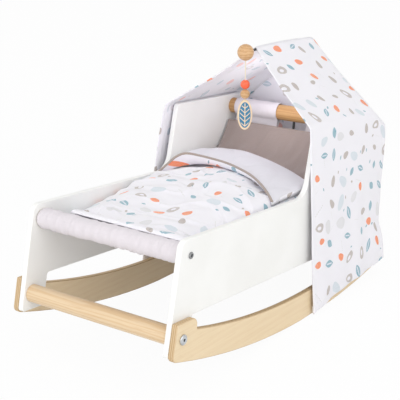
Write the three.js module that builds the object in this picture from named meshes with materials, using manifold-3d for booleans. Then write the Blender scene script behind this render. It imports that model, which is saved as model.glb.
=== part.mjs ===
// Doll cradle on two curved runners, with a cloth sling bed, a pillow, a duvet, and a canopy on a bent rod.
// Millimetres, +Z up, +X to the right side panel, +Y to the head end. The cradle is drawn level, about the
// point on the floor under the middle of the runners, and then rolled on them to the tilt at which it rests.
import * as THREE from 'three';
import { mergeVertices } from 'three/addons/utils/BufferGeometryUtils.js';
import Module from 'manifold-3d';

const wasm = await Module();
wasm.setup();

// frame of boards and dowels
const innerWidth = 240;
const panelThickness = 8;
const runnerThickness = 8.5;
const dowelDiameter = 25;
const seatGap = 0.3; // between two pieces that touch
const slideGap = 0.6; // round a piece that slides or turns
const easedEdge = 1;
const overrun = 4; // how far a cutting tool runs past a face

// side panel, with its length taken at the floor
const halfLength = 290;
const endLeanDegrees = 9.25;
const legWidth = 42.5;
const legDrop = 45.7; // foot of the leg below the lower edge of the panel
const tabRise = 13.4; // lower edge of the panel above the runner's upper edge, by the legs
const lowSideHeight = 102;
const hoodHeight = 101; // above the low side
const hoodStart = 37.5;
const hoodLeanDegrees = 11.05;
const legCornerRadius = 5;
const archCornerRadius = 4;
const footCornerRadius = 13.5;
const hollowRadius = 27;
const hoodFrontRadius = 6;
const hoodRearRadius = 18;

// rocker
const rockerRadius = 1145;
const runnerDepth = 41.5;
const restTiltDegrees = 3.78;
const restFlat = 90; // length of the stretch that it stands on
const rollFlat = 25; // length of each other straight stretch of the rolling edge
const tabCornerRadius = 10;
const runnerToeRadius = 8;
const runnerInnerRadius = 2;

// where the dowels sit, measured from the edges of the side panel
const footRailInset = 21.2;
const footRailDrop = 21.7;
const headRailInset = 35.6;
const headRailDrop = 18.3;
const stretcherInset = 15.9;
const stretcherDrop = 22;

// fasteners
const boltHeadDiameter = 14;
const boltHeadHeight = 2.4;
const screwHeadDiameter = 9;
const screwHeadHeight = 1.8;
const shankDiameter = 6;
const socketAcrossCorners = 4.6;
const socketDepth = 1.3;
const insertDiameter = 10;
const insertLength = 13;
const shankEngagement = 10;

// sling bed of cloth
const clothThickness = 1.2;
const slingSideGap = 4;
const loopSideGap = 12.5;
const loopMiddleGap = 54;
const loopSlitDepth = 34;
const slingSag = 57;
// how much of the sag is reached on the way from the foot rail to the head rail
const slingSagShares = [
  [0, 0], [0.018, 0.149], [0.047, 0.246], [0.081, 0.312], [0.194, 0.456], [0.307, 0.572],
  [0.42, 0.672], [0.533, 0.772], [0.646, 0.87], [0.736, 0.947], [0.792, 0.986], [0.837, 1],
  [0.871, 0.974], [0.898, 0.909], [0.928, 0.786], [0.957, 0.575], [0.98, 0.346], [0.993, 0.16], [1, 0],
];
const slingStartDegrees = -63;
const slingEndDegrees = -105;

// pillow and duvet
const beddingSideGap = 4;
const pillowFrontShare = 0.76; // of the way along the sling from the foot rail
const pillowRearShare = 0.99;
const pillowSeamHeight = 6;
const pillowCrown = 14;
const pillowDrawShare = 0.035; // how far its sides draw in between the corners
const pillowSquareness = 3; // power that keeps the pillow full near its edges
const pillowRoundness = 0.5;
const duvetFootInset = 21.5; // from the axis of the foot rail, at the middle of the bed
const duvetFootSlant = 28.5;
const duvetHeadInset = 70.6; // from the axis of the head rail, at the middle of the bed
const duvetHeadSlant = 8;
const duvetRise = 43; // of the middle of the duvet above the axis of the foot rail
const duvetRiseShares = [
  [0, 0.4], [0.07, 0.35], [0.18, 0.37], [0.3, 0.48], [0.455, 0.71], [0.6, 0.92], [0.7, 0.97],
  [0.8, 1], [0.9, 0.97], [1, 0.88],
];
const duvetSideDrop = 14;
const duvetSideSquareness = 3; // power by which it falls to its sides
const duvetSkin = 10;
const duvetRim = 12;
const railCrestShare = 0.28; // of the wrapped rail's radius, over which the duvet lies level on it
const railBridgeShare = 0.55; // fall of the duvet's underside from the rail down to the sling
const foldLineInset = 254; // from the axis of the foot rail to the edge of the turned-back flap
const foldLineSlant = 42;
const foldThickness = 11;
const foldRound = 14;

// canopy rod, ball and cloth
const rodDiameter = 4;
const rodBelowDowel = 33;
const rodStraightAboveDowel = 8;
const rodBackLeanDegrees = 24;
const rodTopBend = 16;
const rodLowBend = 6;
const ridgeRise = 99; // above the top of the hood
const ridgeFall = 6.5;
const ridgeBow = 3;
const ballDiameter = 24.5;
const ballSocketDepth = 8;
const canopyClothThickness = 1.2;
const canopyRidgeGap = 0.5;
const ridgeFrontBehindBall = 28;
const hemAheadOfHood = 24;
const hemFallBackDegrees = 6;
const leftHemSwing = 26; // towards the foot, at the bottom of the left drape
const leftHemFlare = 9; // outwards, likewise
const leftHemAhead = 8;
const hemSwingPower = 0.5;
const hemFlarePower = 2;
const drapeFlare = 3;
const eaveRound = 5;
const drapeFoldDepth = 2.6;
const drapeFolds = 4;
const roofSag = 5;
const hemFrontLift = 9;
const hemRearLift = 38;
const hemLiftPower = 0.7; // above 1 the hem would rise late, below 1 it rises early
const rearStandOff = 5;
const ridgeRearOverhang = 8;

// mobile that hangs from the ball
const cordDiameter = 2;
const beadDiameter = 14.2;
const beadBoreDiameter = 3.2;
const upperBeadDrop = 48;
const leafWidth = 22.5;
const leafHeight = 46;
const leafThickness = 5;
const leafGapBelowBead = 1.4;
const leafBoreDepth = 6;
const leafTurnDegrees = 36;

// fineness of the curves
const profileSteps = 240;
const aheadShare = 0.001; // step along the sling over which its slope is taken
const edgeSegments = 1;
const runnerCurveSegments = 5;
const runnerInnerSteps = 18;
const ringSegments = 14;
const socketSides = 6;
const pillowColumns = 16;
const pillowRows = 12;
const duvetColumns = 22;
const duvetRows = 26;
const cordSteps = 12;
const cordSides = 12;
const beadBoreSides = 12;
const pillowSamples = 40;
const supportSamples = 4;
const supportReach = 5;
const boreSides = 14;
const dowelSides = 24;
const fastenerSides = 14;
const panelCurveSegments = 6;
const slingSteps = 36;
const rodSteps = 48;
const rodSides = 12;
const ballSides = 20;
const ballRows = 12;
const beadSides = 14;
const beadRows = 9;
const leafSegments = 14;
const roofColumns = 8;
const drapeColumns = 10;
const canopyRows = 12;
const curtainColumns = 18;
const curtainRows = 12;

const rad = THREE.MathUtils.degToRad;
const lerp = THREE.MathUtils.lerp;
const clamp = THREE.MathUtils.clamp;
const smoothstep = THREE.MathUtils.smoothstep;

const finish = (color, roughness, metalness = 0) =>
  new THREE.MeshStandardMaterial({ color, roughness, metalness });
const whitePaint = () => finish(0xf4f4f0, 0.45);
const birchPly = () => finish(0xe6cda4, 0.55);
const pine = () => finish(0xe2c396, 0.55);
const beech = () => finish(0xcf9f66, 0.5);
const zinc = () => finish(0xb9bfc4, 0.3, 1);
const darkSteel = () => finish(0x4a4b4d, 0.35, 1);
const slingCotton = () => finish(0xe8e2e8, 0.9);
const printedCotton = () => finish(0xf1f1f6, 0.9);
const taupeCotton = () => finish(0xa0928e, 0.9);
const cordCotton = () => finish(0xf0e2cc, 0.85);
const orangePaint = () => finish(0xff6a3c, 0.35);
const bluePaint = () => finish(0x3282b0, 0.5);

// closed three.js geometry to a solid and back
function toSolid(geometry) {
  const bare = geometry.clone();
  bare.deleteAttribute('normal');
  bare.deleteAttribute('uv');
  const merged = mergeVertices(bare);
  const vertProperties = new Float32Array(merged.attributes.position.array);
  const triVerts = new Uint32Array(merged.index.array);
  return new wasm.Manifold(new wasm.Mesh({ numProp: 3, vertProperties, triVerts }));
}

function toGeometry(solid) {
  const mesh = solid.getMesh();
  const geometry = new THREE.BufferGeometry();
  geometry.setAttribute('position', new THREE.BufferAttribute(new Float32Array(mesh.vertProperties), 3));
  geometry.setIndex(new THREE.BufferAttribute(new Uint32Array(mesh.triVerts), 1));
  geometry.computeVertexNormals();
  return geometry;
}

const subtractAll = (geometry, cutters) =>
  toGeometry(cutters.reduce((solid, cutter) => solid.subtract(toSolid(cutter)), toSolid(geometry)));
const joinAll = (geometries) =>
  toGeometry(geometries.slice(1).reduce((solid, g) => solid.add(toSolid(g)), toSolid(geometries[0])));

function addPart(group, name, geometry, material) {
  const mesh = new THREE.Mesh(geometry, material);
  mesh.name = name;
  group.add(mesh);
  return mesh;
}

// levels above the floor when the cradle stands level
const upperArc = rockerRadius - runnerDepth;
const panelBottom = rockerRadius - Math.sqrt(upperArc ** 2 - (halfLength - legWidth) ** 2) + tabRise;
const legLift = panelBottom - legDrop;
const lowTop = panelBottom + lowSideHeight;
const tallTop = lowTop + hoodHeight;
const ridgeHeight = tallTop + ridgeRise;

// lines that bound the side panels: foot and head ends lean alike
const endSlope = Math.tan(rad(endLeanDegrees));
const hoodSlope = Math.tan(rad(hoodLeanDegrees));
const footEdgeAt = (z) => -halfLength + endSlope * z;
const headEdgeAt = (z) => -footEdgeAt(z);
const hoodEdgeAt = (z) => hoodStart + hoodSlope * (z - lowTop);

const dowelRadius = dowelDiameter / 2;
const panelOuter = innerWidth / 2 + seatGap + panelThickness;
const runnerInner = panelOuter + seatGap;
const runnerOuter = runnerInner + runnerThickness;

const footRail = { z: lowTop - footRailDrop };
footRail.y = footEdgeAt(footRail.z) + footRailInset;
const headRail = { z: tallTop - headRailDrop };
headRail.y = headEdgeAt(headRail.z) - headRailInset;
const footStretcher = { z: panelBottom - stretcherDrop };
footStretcher.y = footEdgeAt(footStretcher.z) + stretcherInset;
const headStretcher = { z: footStretcher.z, y: -footStretcher.y };

// outline with a tangent arc at each corner that has a radius
function filletedShape(corners) {
  const shape = new THREE.Shape();
  corners.forEach(([y, z, radius], i) => {
    const here = new THREE.Vector2(y, z);
    const before = corners[(i + corners.length - 1) % corners.length];
    const after = corners[(i + 1) % corners.length];
    const inward = new THREE.Vector2(before[0], before[1]).sub(here).normalize();
    const onward = new THREE.Vector2(after[0], after[1]).sub(here).normalize();
    const place = i === 0 ? 'moveTo' : 'lineTo';
    if (!radius) {
      shape[place](here.x, here.y);
      return;
    }
    const half = Math.acos(clamp(inward.dot(onward), -1, 1)) / 2;
    const reach = radius / Math.tan(half);
    const bisector = inward.clone().add(onward).normalize();
    const centre = here.clone().addScaledVector(bisector, radius / Math.sin(half));
    const start = here.clone().addScaledVector(inward, reach).sub(centre);
    const end = here.clone().addScaledVector(onward, reach).sub(centre);
    const clockwise = inward.cross(onward) > 0;
    shape[place](centre.x + start.x, centre.y + start.y);
    shape.absarc(centre.x, centre.y, radius, start.angle(), end.angle(), clockwise);
  });
  shape.closePath();
  return shape;
}

// turns a drawing in (x, y) with its depth in z into (y, z) with its depth along X
const sideways = new THREE.Matrix4().makeBasis(
  new THREE.Vector3(0, 1, 0), new THREE.Vector3(0, 0, 1), new THREE.Vector3(1, 0, 0));

function board(shape, thickness, x, curveSegments) {
  const geometry = new THREE.ExtrudeGeometry(shape, {
    depth: thickness - 2 * easedEdge,
    bevelEnabled: true,
    bevelThickness: easedEdge,
    bevelSize: easedEdge,
    bevelOffset: -easedEdge,
    bevelSegments: edgeSegments,
    curveSegments,
  });
  return geometry.translate(0, 0, easedEdge).applyMatrix4(sideways).translate(x, 0, 0);
}

function slab(shape, width, x, curveSegments) {
  const options = { depth: width, bevelEnabled: false, curveSegments };
  return new THREE.ExtrudeGeometry(shape, options).applyMatrix4(sideways).translate(x, 0, 0);
}

// rod of round section along X between two places
function crossBar(radius, x0, x1, place, sides) {
  return new THREE.CylinderGeometry(radius, radius, x1 - x0, sides)
    .rotateZ(-Math.PI / 2)
    .translate((x0 + x1) / 2, place.y, place.z);
}

const shankBore = (place) =>
  crossBar(shankDiameter / 2 + seatGap, -runnerOuter - overrun, runnerOuter + overrun, place, boreSides);

// side panel: leg, arch, leg, tall hood side and low bed side
function sidePanel(x) {
  const footLeg = (z) => footEdgeAt(z) + legWidth;
  const shape = filletedShape([
    [footEdgeAt(legLift), legLift, legCornerRadius],
    [footLeg(legLift), legLift, legCornerRadius],
    [footLeg(panelBottom), panelBottom, archCornerRadius],
    [-footLeg(panelBottom), panelBottom, archCornerRadius],
    [-footLeg(legLift), legLift, legCornerRadius],
    [headEdgeAt(legLift), legLift, legCornerRadius],
    [headEdgeAt(tallTop), tallTop, hoodRearRadius],
    [hoodEdgeAt(tallTop), tallTop, hoodFrontRadius],
    [hoodEdgeAt(lowTop), lowTop, hollowRadius],
    [footEdgeAt(lowTop), lowTop, footCornerRadius],
  ]);
  const bores = [footRail, headRail, footStretcher, headStretcher].map(shankBore);
  return subtractAll(board(shape, panelThickness, x, panelCurveSegments), bores);
}

// height at which the leaning end meets an arc about the centre of the rocker
function endOnArc(radius) {
  const a = 1 + endSlope * endSlope;
  const b = -2 * (endSlope * halfLength + rockerRadius);
  const c = halfLength * halfLength + rockerRadius * rockerRadius - radius * radius;
  return (-b - Math.sqrt(b * b - 4 * a * c)) / (2 * a);
}

const onArc = (radius, angle) => [radius * Math.sin(angle), rockerRadius - radius * Math.cos(angle), 0];
const restTilt = rad(restTiltDegrees);
const restHalfAngle = Math.asin(restFlat / 2 / rockerRadius);
const rollAngle = 2 * Math.asin(rollFlat / 2 / rockerRadius);

// rolling edge as straight stretches, with one of them level when the cradle rests
function rollingEdge() {
  const toeZ = endOnArc(rockerRadius);
  const reach = Math.asin(headEdgeAt(toeZ) / rockerRadius) - rollAngle / 2;
  const angles = [];
  for (let a = restTilt - restHalfAngle; a > -reach; a -= rollAngle) angles.unshift(a);
  for (let a = restTilt + restHalfAngle; a < reach; a += rollAngle) angles.push(a);
  return angles.map((a) => onArc(rockerRadius, a));
}

function runnerShape() {
  const toeZ = endOnArc(rockerRadius);
  const tabEdge = footEdgeAt(panelBottom) + legWidth;
  const tabAngle = Math.asin(-tabEdge / upperArc);
  const innerEdge = [];
  for (let i = 1; i < runnerInnerSteps; i += 1) {
    innerEdge.push(onArc(upperArc, lerp(tabAngle, -tabAngle, i / runnerInnerSteps)));
  }
  const [, tabFootZ] = onArc(upperArc, tabAngle);
  return filletedShape([
    [footEdgeAt(toeZ), toeZ, runnerToeRadius],
    ...rollingEdge(),
    [headEdgeAt(toeZ), toeZ, runnerToeRadius],
    [headEdgeAt(panelBottom), panelBottom, runnerInnerRadius],
    [-tabEdge, panelBottom, tabCornerRadius],
    [-tabEdge, tabFootZ, runnerInnerRadius],
    ...innerEdge,
    [tabEdge, tabFootZ, runnerInnerRadius],
    [tabEdge, panelBottom, tabCornerRadius],
    [footEdgeAt(panelBottom), panelBottom, runnerInnerRadius],
  ]);
}

function runner(x) {
  const bores = [footStretcher, headStretcher].map(shankBore);
  return subtractAll(board(runnerShape(), runnerThickness, x, runnerCurveSegments), bores);
}

// dowel with a blind bore at each end for its threaded insert
function dowel(place) {
  const half = innerWidth / 2;
  const bore = insertDiameter / 2 + seatGap;
  const boreEnd = half - insertLength - seatGap;
  const right = [
    [0, boreEnd],
    [bore, boreEnd],
    [bore, half],
    [dowelRadius - easedEdge, half],
    [dowelRadius, half - easedEdge],
  ];
  const left = right.map(([r, x]) => [r, -x]);
  const outline = [...left, ...right.reverse()].map(([r, x]) => new THREE.Vector2(r, x));
  return new THREE.LatheGeometry(outline, dowelSides).rotateZ(-Math.PI / 2).translate(0, place.y, place.z);
}

// fastener on the right side, its head outside at x
function fastener(x, headDiameter, headHeight, place) {
  const head = headDiameter / 2;
  const shank = shankDiameter / 2;
  const tip = innerWidth / 2 - shankEngagement;
  const outline = [
    [0, tip],
    [shank - easedEdge / 2, tip],
    [shank, tip + easedEdge],
    [shank, x + seatGap],
    [head, x + seatGap],
    [head, x + seatGap + headHeight / 2],
    [head - easedEdge, x + seatGap + headHeight],
    [0, x + seatGap + headHeight],
  ].map(([r, along]) => new THREE.Vector2(r, along));
  const body = new THREE.LatheGeometry(outline, fastenerSides).rotateZ(-Math.PI / 2);
  const socket = new THREE.CylinderGeometry(
    socketAcrossCorners / 2, socketAcrossCorners / 2, socketDepth + overrun, socketSides)
    .rotateZ(-Math.PI / 2)
    .translate(x + seatGap + headHeight + (overrun - socketDepth) / 2, 0, 0);
  return subtractAll(body, [socket]).translate(0, place.y, place.z);
}

function threadedInsert(place) {
  const outer = insertDiameter / 2;
  const inner = shankDiameter / 2 + seatGap;
  const face = innerWidth / 2;
  const outline = [
    [inner, face - insertLength],
    [outer - easedEdge, face - insertLength],
    [outer, face - insertLength + easedEdge],
    [outer, face],
    [inner, face],
    [inner, face - insertLength],
  ].map(([r, along]) => new THREE.Vector2(r, along));
  return new THREE.LatheGeometry(outline, fastenerSides).rotateZ(-Math.PI / 2).translate(0, place.y, place.z);
}

// the same piece on the left, turned half round the vertical through the dowel's own place
const onLeft = (geometry, place) =>
  geometry.clone().translate(0, -place.y, 0).rotateZ(Math.PI).translate(0, place.y, 0);

// strip of cloth of even thickness along a line drawn in (y, z)
function band(line, thickness) {
  const sides = line.map((p, i) => {
    const a = line[Math.max(i - 1, 0)];
    const b = line[Math.min(i + 1, line.length - 1)];
    const normal = new THREE.Vector2(a.y - b.y, b.x - a.x).normalize();
    return [1, -1].map((face) => p.clone().addScaledVector(normal, face * thickness / 2));
  });
  return new THREE.Shape([...sides.map((s) => s[0]), ...sides.map((s) => s[1]).reverse()]);
}

function ringShape(place, inner, outer) {
  const shape = new THREE.Shape().absarc(place.y, place.z, outer, 0, 2 * Math.PI, false);
  shape.holes.push(new THREE.Path().absarc(place.y, place.z, inner, 0, 2 * Math.PI, true));
  return shape;
}

const slingHalfWidth = innerWidth / 2 - slingSideGap;
const loopOuterEdge = innerWidth / 2 - loopSideGap;
const loopInnerEdge = loopMiddleGap / 2;
const tunnelInner = dowelRadius + seatGap;
const tunnelMiddle = tunnelInner + clothThickness / 2;
const onTunnel = (place, degrees) => new THREE.Vector2(
  place.y + tunnelMiddle * Math.cos(rad(degrees)), place.z + tunnelMiddle * Math.sin(rad(degrees)));
const slingStart = onTunnel(footRail, slingStartDegrees);
const slingEnd = onTunnel(headRail, slingEndDegrees);

// smooth curve through pairs of shares, as a function of the first of each pair
function profile(pairs) {
  const fine = new THREE.SplineCurve(pairs.map(([a, b]) => new THREE.Vector2(a, b))).getPoints(profileSteps);
  return (share) => {
    const i = clamp(fine.findIndex((p) => p.x >= share), 1, fine.length - 1);
    const along = clamp((share - fine[i - 1].x) / (fine[i].x - fine[i - 1].x), 0, 1);
    return lerp(fine[i - 1].y, fine[i].y, along);
  };
}

// the sling hangs below the line between its rails
const slingDropAt = profile(slingSagShares);
const slingPoint = (share) => new THREE.Vector2(
  lerp(slingStart.x, slingEnd.x, share),
  lerp(slingStart.y, slingEnd.y, share) - slingSag * slingDropAt(share));
const slingShareAt = (y) => clamp((y - slingStart.x) / (slingEnd.x - slingStart.x), 0, 1);
const slingHeightAt = (y) => slingPoint(slingShareAt(y)).y;

const slingLine = (from, to) => {
  const points = [];
  for (let i = 0; i <= slingSteps; i += 1) {
    const share = (1 - Math.cos(Math.PI * i / slingSteps)) / 2;
    if (share >= from && share <= to) points.push(slingPoint(share));
  }
  return points;
};

function sling() {
  const slitShare = slingShareAt(headRail.y - loopSlitDepth / 2);
  const overlapShare = slingShareAt(headRail.y - loopSlitDepth);
  const bed = slab(band([...slingLine(0, slitShare)], clothThickness), 2 * slingHalfWidth, -slingHalfWidth);
  const tunnel = slab(
    ringShape(footRail, tunnelInner, tunnelInner + clothThickness),
    2 * slingHalfWidth, -slingHalfWidth, ringSegments);
  const loopWidth = loopOuterEdge - loopInnerEdge;
  const loops = [-loopOuterEdge, loopInnerEdge].flatMap((x) => [
    slab(ringShape(headRail, tunnelInner, tunnelInner + clothThickness), loopWidth, x, ringSegments),
    slab(band(slingLine(overlapShare, 1), clothThickness), loopWidth, x),
  ]);
  return joinAll([bed, tunnel, ...loops]);
}

// closed skin over two height functions that meet round the rim of a patch
function paddedPatch(columns, rows, point) {
  const positions = [];
  const index = [];
  const top = [];
  const bottom = [];
  for (let j = 0; j <= rows; j += 1) {
    top.push([]);
    bottom.push([]);
    for (let i = 0; i <= columns; i += 1) {
      const u = 2 * i / columns - 1;
      const v = j / rows;
      const rim = i === 0 || j === 0 || i === columns || j === rows;
      const [upper, lower] = point(u, v);
      top[j].push(positions.length / 3);
      positions.push(...upper);
      if (rim) {
        bottom[j].push(top[j][i]);
      } else {
        bottom[j].push(positions.length / 3);
        positions.push(...lower);
      }
    }
  }
  for (let j = 0; j < rows; j += 1) {
    for (let i = 0; i < columns; i += 1) {
      const [a, b, c, d] = [top[j][i], top[j][i + 1], top[j + 1][i + 1], top[j + 1][i]];
      index.push(a, b, c, a, c, d);
      const [e, f, g, h] = [bottom[j][i], bottom[j][i + 1], bottom[j + 1][i + 1], bottom[j + 1][i]];
      index.push(e, g, f, e, h, g);
    }
  }
  const geometry = new THREE.BufferGeometry();
  geometry.setAttribute('position', new THREE.Float32BufferAttribute(positions, 3));
  geometry.setIndex(index);
  geometry.computeVertexNormals();
  return toGeometry(toSolid(geometry));
}

const beddingHalfWidth = innerWidth / 2 - beddingSideGap;
const beddingLift = clothThickness / 2 + 3 * seatGap; // above the middle of the sling's cloth

// pillow on the sloping part of the sling; its sides draw in between the corners
function pillowPoint(u, v) {
  const on = slingPoint(lerp(pillowFrontShare, pillowRearShare, v));
  const ahead = slingPoint(lerp(pillowFrontShare, pillowRearShare, v) + aheadShare);
  const normal = new THREE.Vector2(on.y - ahead.y, ahead.x - on.x).normalize();
  const x = beddingHalfWidth * u * (1 - pillowDrawShare * 4 * v * (1 - v));
  const fromEdge = (share) => 1 - Math.abs(share) ** pillowSquareness;
  const full = (fromEdge(u) * fromEdge(2 * v - 1)) ** pillowRoundness;
  const low = beddingLift + pillowSeamHeight * (1 - full);
  const high = beddingLift + pillowSeamHeight + pillowCrown * full;
  return [
    [x, on.x + normal.x * high, on.y + normal.y * high],
    [x, on.x + normal.x * low, on.y + normal.y * low],
  ];
}
const pillow = () => paddedPatch(pillowColumns, pillowRows, pillowPoint);

// height of the pillow at a place, found along its own surface
function pillowTopAt(x, y) {
  const u = clamp(x / beddingHalfWidth, -1, 1);
  const line = [];
  for (let i = 0; i <= pillowSamples; i += 1) line.push(pillowPoint(u, i / pillowSamples)[0]);
  if (y < line[0][1]) return -Infinity;
  const i = clamp(line.findIndex((p) => p[1] >= y), 1, pillowSamples);
  return lerp(line[i - 1][2], line[i][2], clamp((y - line[i - 1][1]) / (line[i][1] - line[i - 1][1]), 0, 1));
}

// what the duvet lies on: the sling, the wrapped foot rail and the lower part of the pillow
function supportAt(x, y) {
  const cloth = slingHeightAt(y) + clothThickness / 2 + seatGap;
  const tunnelOuter = tunnelInner + clothThickness;
  const fromRail = Math.max(0, Math.abs(y - footRail.y) - tunnelOuter * railCrestShare);
  const rail = footRail.z + tunnelOuter + 2 * seatGap - railBridgeShare * fromRail;
  return Math.max(cloth, rail, pillowTopAt(x, y));
}

// the same, kept clear of the straight stretches between the points of the skin
function clearSupportAt(x, y) {
  let best = -Infinity;
  for (let i = -supportSamples; i <= supportSamples; i += 1) {
    best = Math.max(best, supportAt(x, y + supportReach * i / supportSamples));
  }
  return best;
}

const duvetRiseAt = profile(duvetRiseShares);
function duvetPoint(u, v) {
  const x = (beddingHalfWidth - seatGap) * u;
  const footY = footRail.y + duvetFootInset - duvetFootSlant * u;
  const headY = headRail.y - duvetHeadInset - duvetHeadSlant * u;
  const y = lerp(footY, headY, v);
  const foldY = footRail.y + foldLineInset - foldLineSlant * u;
  const folded = smoothstep(y, foldY - foldRound / 2, foldY + foldRound / 2);
  const support = clearSupportAt(x, y);
  const fromSide = (1 - Math.abs(u)) * beddingHalfWidth;
  const fromEnd = Math.min(v, 1 - v) * (headY - footY);
  const inwards = clamp(Math.min(fromSide, fromEnd) / duvetRim, 0, 1);
  const full = Math.sqrt(1 - (1 - inwards) ** 2);
  const sideFall = duvetSideDrop * Math.abs(u) ** duvetSideSquareness;
  const crest = footRail.z + duvetRise * duvetRiseAt(v) + foldThickness * folded - sideFall;
  const high = Math.max(lerp(support, crest, full), support + full * duvetSkin / 2);
  const low = Math.max(lerp(support, crest - duvetSkin, full), support);
  return [[x, y, high], [x, y, Math.min(low, high - full * duvetSkin / 4)]];
}
const duvet = () => paddedPatch(duvetColumns, duvetRows, duvetPoint);

// rod: up through the head rail, leaning back, then forward along a slightly bowed ridge
const rodCorners = (() => {
  const lean = Math.tan(rad(rodBackLeanDegrees));
  const bottom = new THREE.Vector3(0, headRail.y, headRail.z - dowelRadius - rodBelowDowel);
  const bend = new THREE.Vector3(0, headRail.y, headRail.z + dowelRadius + rodStraightAboveDowel);
  const top = new THREE.Vector3(0, bend.y + (ridgeHeight - bend.z) * lean, ridgeHeight);
  const front = new THREE.Vector3(0, hoodEdgeAt(tallTop), ridgeHeight - ridgeFall);
  return { bottom, bend, top, front };
})();
const rodRadius = rodDiameter / 2;

// height of the axis of the rod along the ridge
function ridgeAxisAt(y) {
  const { top, front } = rodCorners;
  const share = clamp((y - front.y) / (top.y - front.y), 0, 1);
  return lerp(front.z, top.z, share) + 4 * ridgeBow * share * (1 - share);
}

function bentRod() {
  const { bottom, bend, top, front } = rodCorners;
  const towards = (from, to, length) => from.clone().add(to.clone().sub(from).setLength(length));
  const onRidge = (y) => new THREE.Vector3(0, y, ridgeAxisAt(y));
  const path = new THREE.CurvePath();
  const lowIn = towards(bend, bottom, rodLowBend);
  const lowOut = towards(bend, top, rodLowBend);
  const topIn = towards(top, bend, rodTopBend);
  const topOut = onRidge(top.y - rodTopBend);
  const socket = onRidge(front.y + ballDiameter / 2 - ballSocketDepth + seatGap);
  const bow = topOut.clone().add(socket).multiplyScalar(0.5);
  bow.z += 2 * (ridgeAxisAt(bow.y) - bow.z);
  path.add(new THREE.LineCurve3(bottom, lowIn));
  path.add(new THREE.QuadraticBezierCurve3(lowIn, bend, lowOut));
  path.add(new THREE.LineCurve3(lowOut, topIn));
  path.add(new THREE.QuadraticBezierCurve3(topIn, top, topOut));
  path.add(new THREE.QuadraticBezierCurve3(topOut, bow, socket));
  const section = new THREE.Shape().absarc(0, 0, rodRadius, 0, 2 * Math.PI, false);
  const options = { steps: rodSteps, bevelEnabled: false, extrudePath: path, curveSegments: rodSides / 2 };
  return toGeometry(toSolid(new THREE.ExtrudeGeometry(section, options)));
}

function ball() {
  const { front } = rodCorners;
  const sphere = new THREE.SphereGeometry(ballDiameter / 2, ballSides, ballRows);
  const ahead = front.y + ballDiameter / 2;
  const along = new THREE.Vector3(0, ahead, ridgeAxisAt(ahead)).sub(front).normalize();
  const socketLength = ballSocketDepth + overrun;
  const socketMiddle = along.clone().setLength(ballDiameter / 2 - ballSocketDepth + socketLength / 2);
  const socket = new THREE.CylinderGeometry(rodRadius + seatGap, rodRadius + seatGap, socketLength, boreSides)
    .applyQuaternion(new THREE.Quaternion().setFromUnitVectors(new THREE.Vector3(0, 1, 0), along))
    .translate(...socketMiddle.toArray());
  return subtractAll(sphere, [socket]).translate(front.x, front.y, front.z);
}

// canopy: over the ridge and down both sides, each side hanging outside its panel and runner
const halfCloth = canopyClothThickness / 2;
const eaveX = panelOuter + seatGap + screwHeadHeight + seatGap + halfCloth;
const eaveZ = tallTop + seatGap + halfCloth;
const roofPitch = Math.atan((ridgeHeight - tallTop) / eaveX);
const ridgeTopAt = (y) => ridgeAxisAt(y) + (rodRadius + canopyRidgeGap + halfCloth) / Math.cos(roofPitch);
const hemX = runnerOuter + seatGap + boltHeadHeight + drapeFlare;
const hemFallBack = Math.tan(rad(hemFallBackDegrees));
const rearCornerAt = (z) => headEdgeAt(Math.min(z, tallTop)) + rearStandOff;
const ridgeFrontY = rodCorners.front.y + ridgeFrontBehindBall;
const ridgeRearY = rodCorners.top.y + ridgeRearOverhang;
const hangShare = (z) => clamp((eaveZ - z) / (eaveZ - hemFrontLift), 0, 1);
const frontHemAt = (z, side) => hoodEdgeAt(tallTop) - hemAheadOfHood
  + (side > 0 ? hemFallBack * (tallTop - z) : leftHemAhead - leftHemSwing * hangShare(z) ** hemSwingPower);
const drapeOutAt = (z) => lerp(eaveX, hemX, smoothstep(eaveZ - z, 0, eaveZ - panelBottom - runnerDepth / 2));

// roof: down is 0 at the ridge and 1 at the eave
function roofPoint(side, down, v) {
  const front = lerp(ridgeFrontY, frontHemAt(eaveZ, side), down);
  const rear = lerp(ridgeRearY, rearCornerAt(eaveZ), down);
  const y = lerp(front, rear, v);
  const sag = roofSag * Math.sin(Math.PI * down) * (1 - Math.sin(Math.PI * v) / 2);
  const z = lerp(ridgeTopAt(y), eaveZ + eaveRound * Math.sin(roofPitch) / 2, down) - sag * (1 - down);
  return new THREE.Vector3(side * (eaveX - eaveRound / 2) * down, y, z);
}

// drape: down is 0 at the eave and 1 at the hem
function drapePoint(side, down, v) {
  const hemZ = lerp(hemFrontLift, hemRearLift, v ** hemLiftPower);
  const z = lerp(eaveZ - eaveRound / 2, hemZ, down);
  const y = lerp(frontHemAt(z, side), rearCornerAt(z), v);
  const fold = drapeFoldDepth * down * (1 - Math.cos(2 * Math.PI * drapeFolds * v)) / 2;
  const flare = side > 0 ? 0 : leftHemFlare * hangShare(z) * (1 - v) ** hemFlarePower;
  return new THREE.Vector3(side * (drapeOutAt(z) + fold + flare), y, z);
}

function canopyPoint(i, v) {
  const half = roofColumns + drapeColumns + 1;
  const side = i < half ? -1 : 1;
  const steps = Math.abs(i - half);
  return steps <= roofColumns
    ? roofPoint(side, steps / roofColumns, v)
    : drapePoint(side, (steps - roofColumns - 1) / drapeColumns, v);
}

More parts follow.
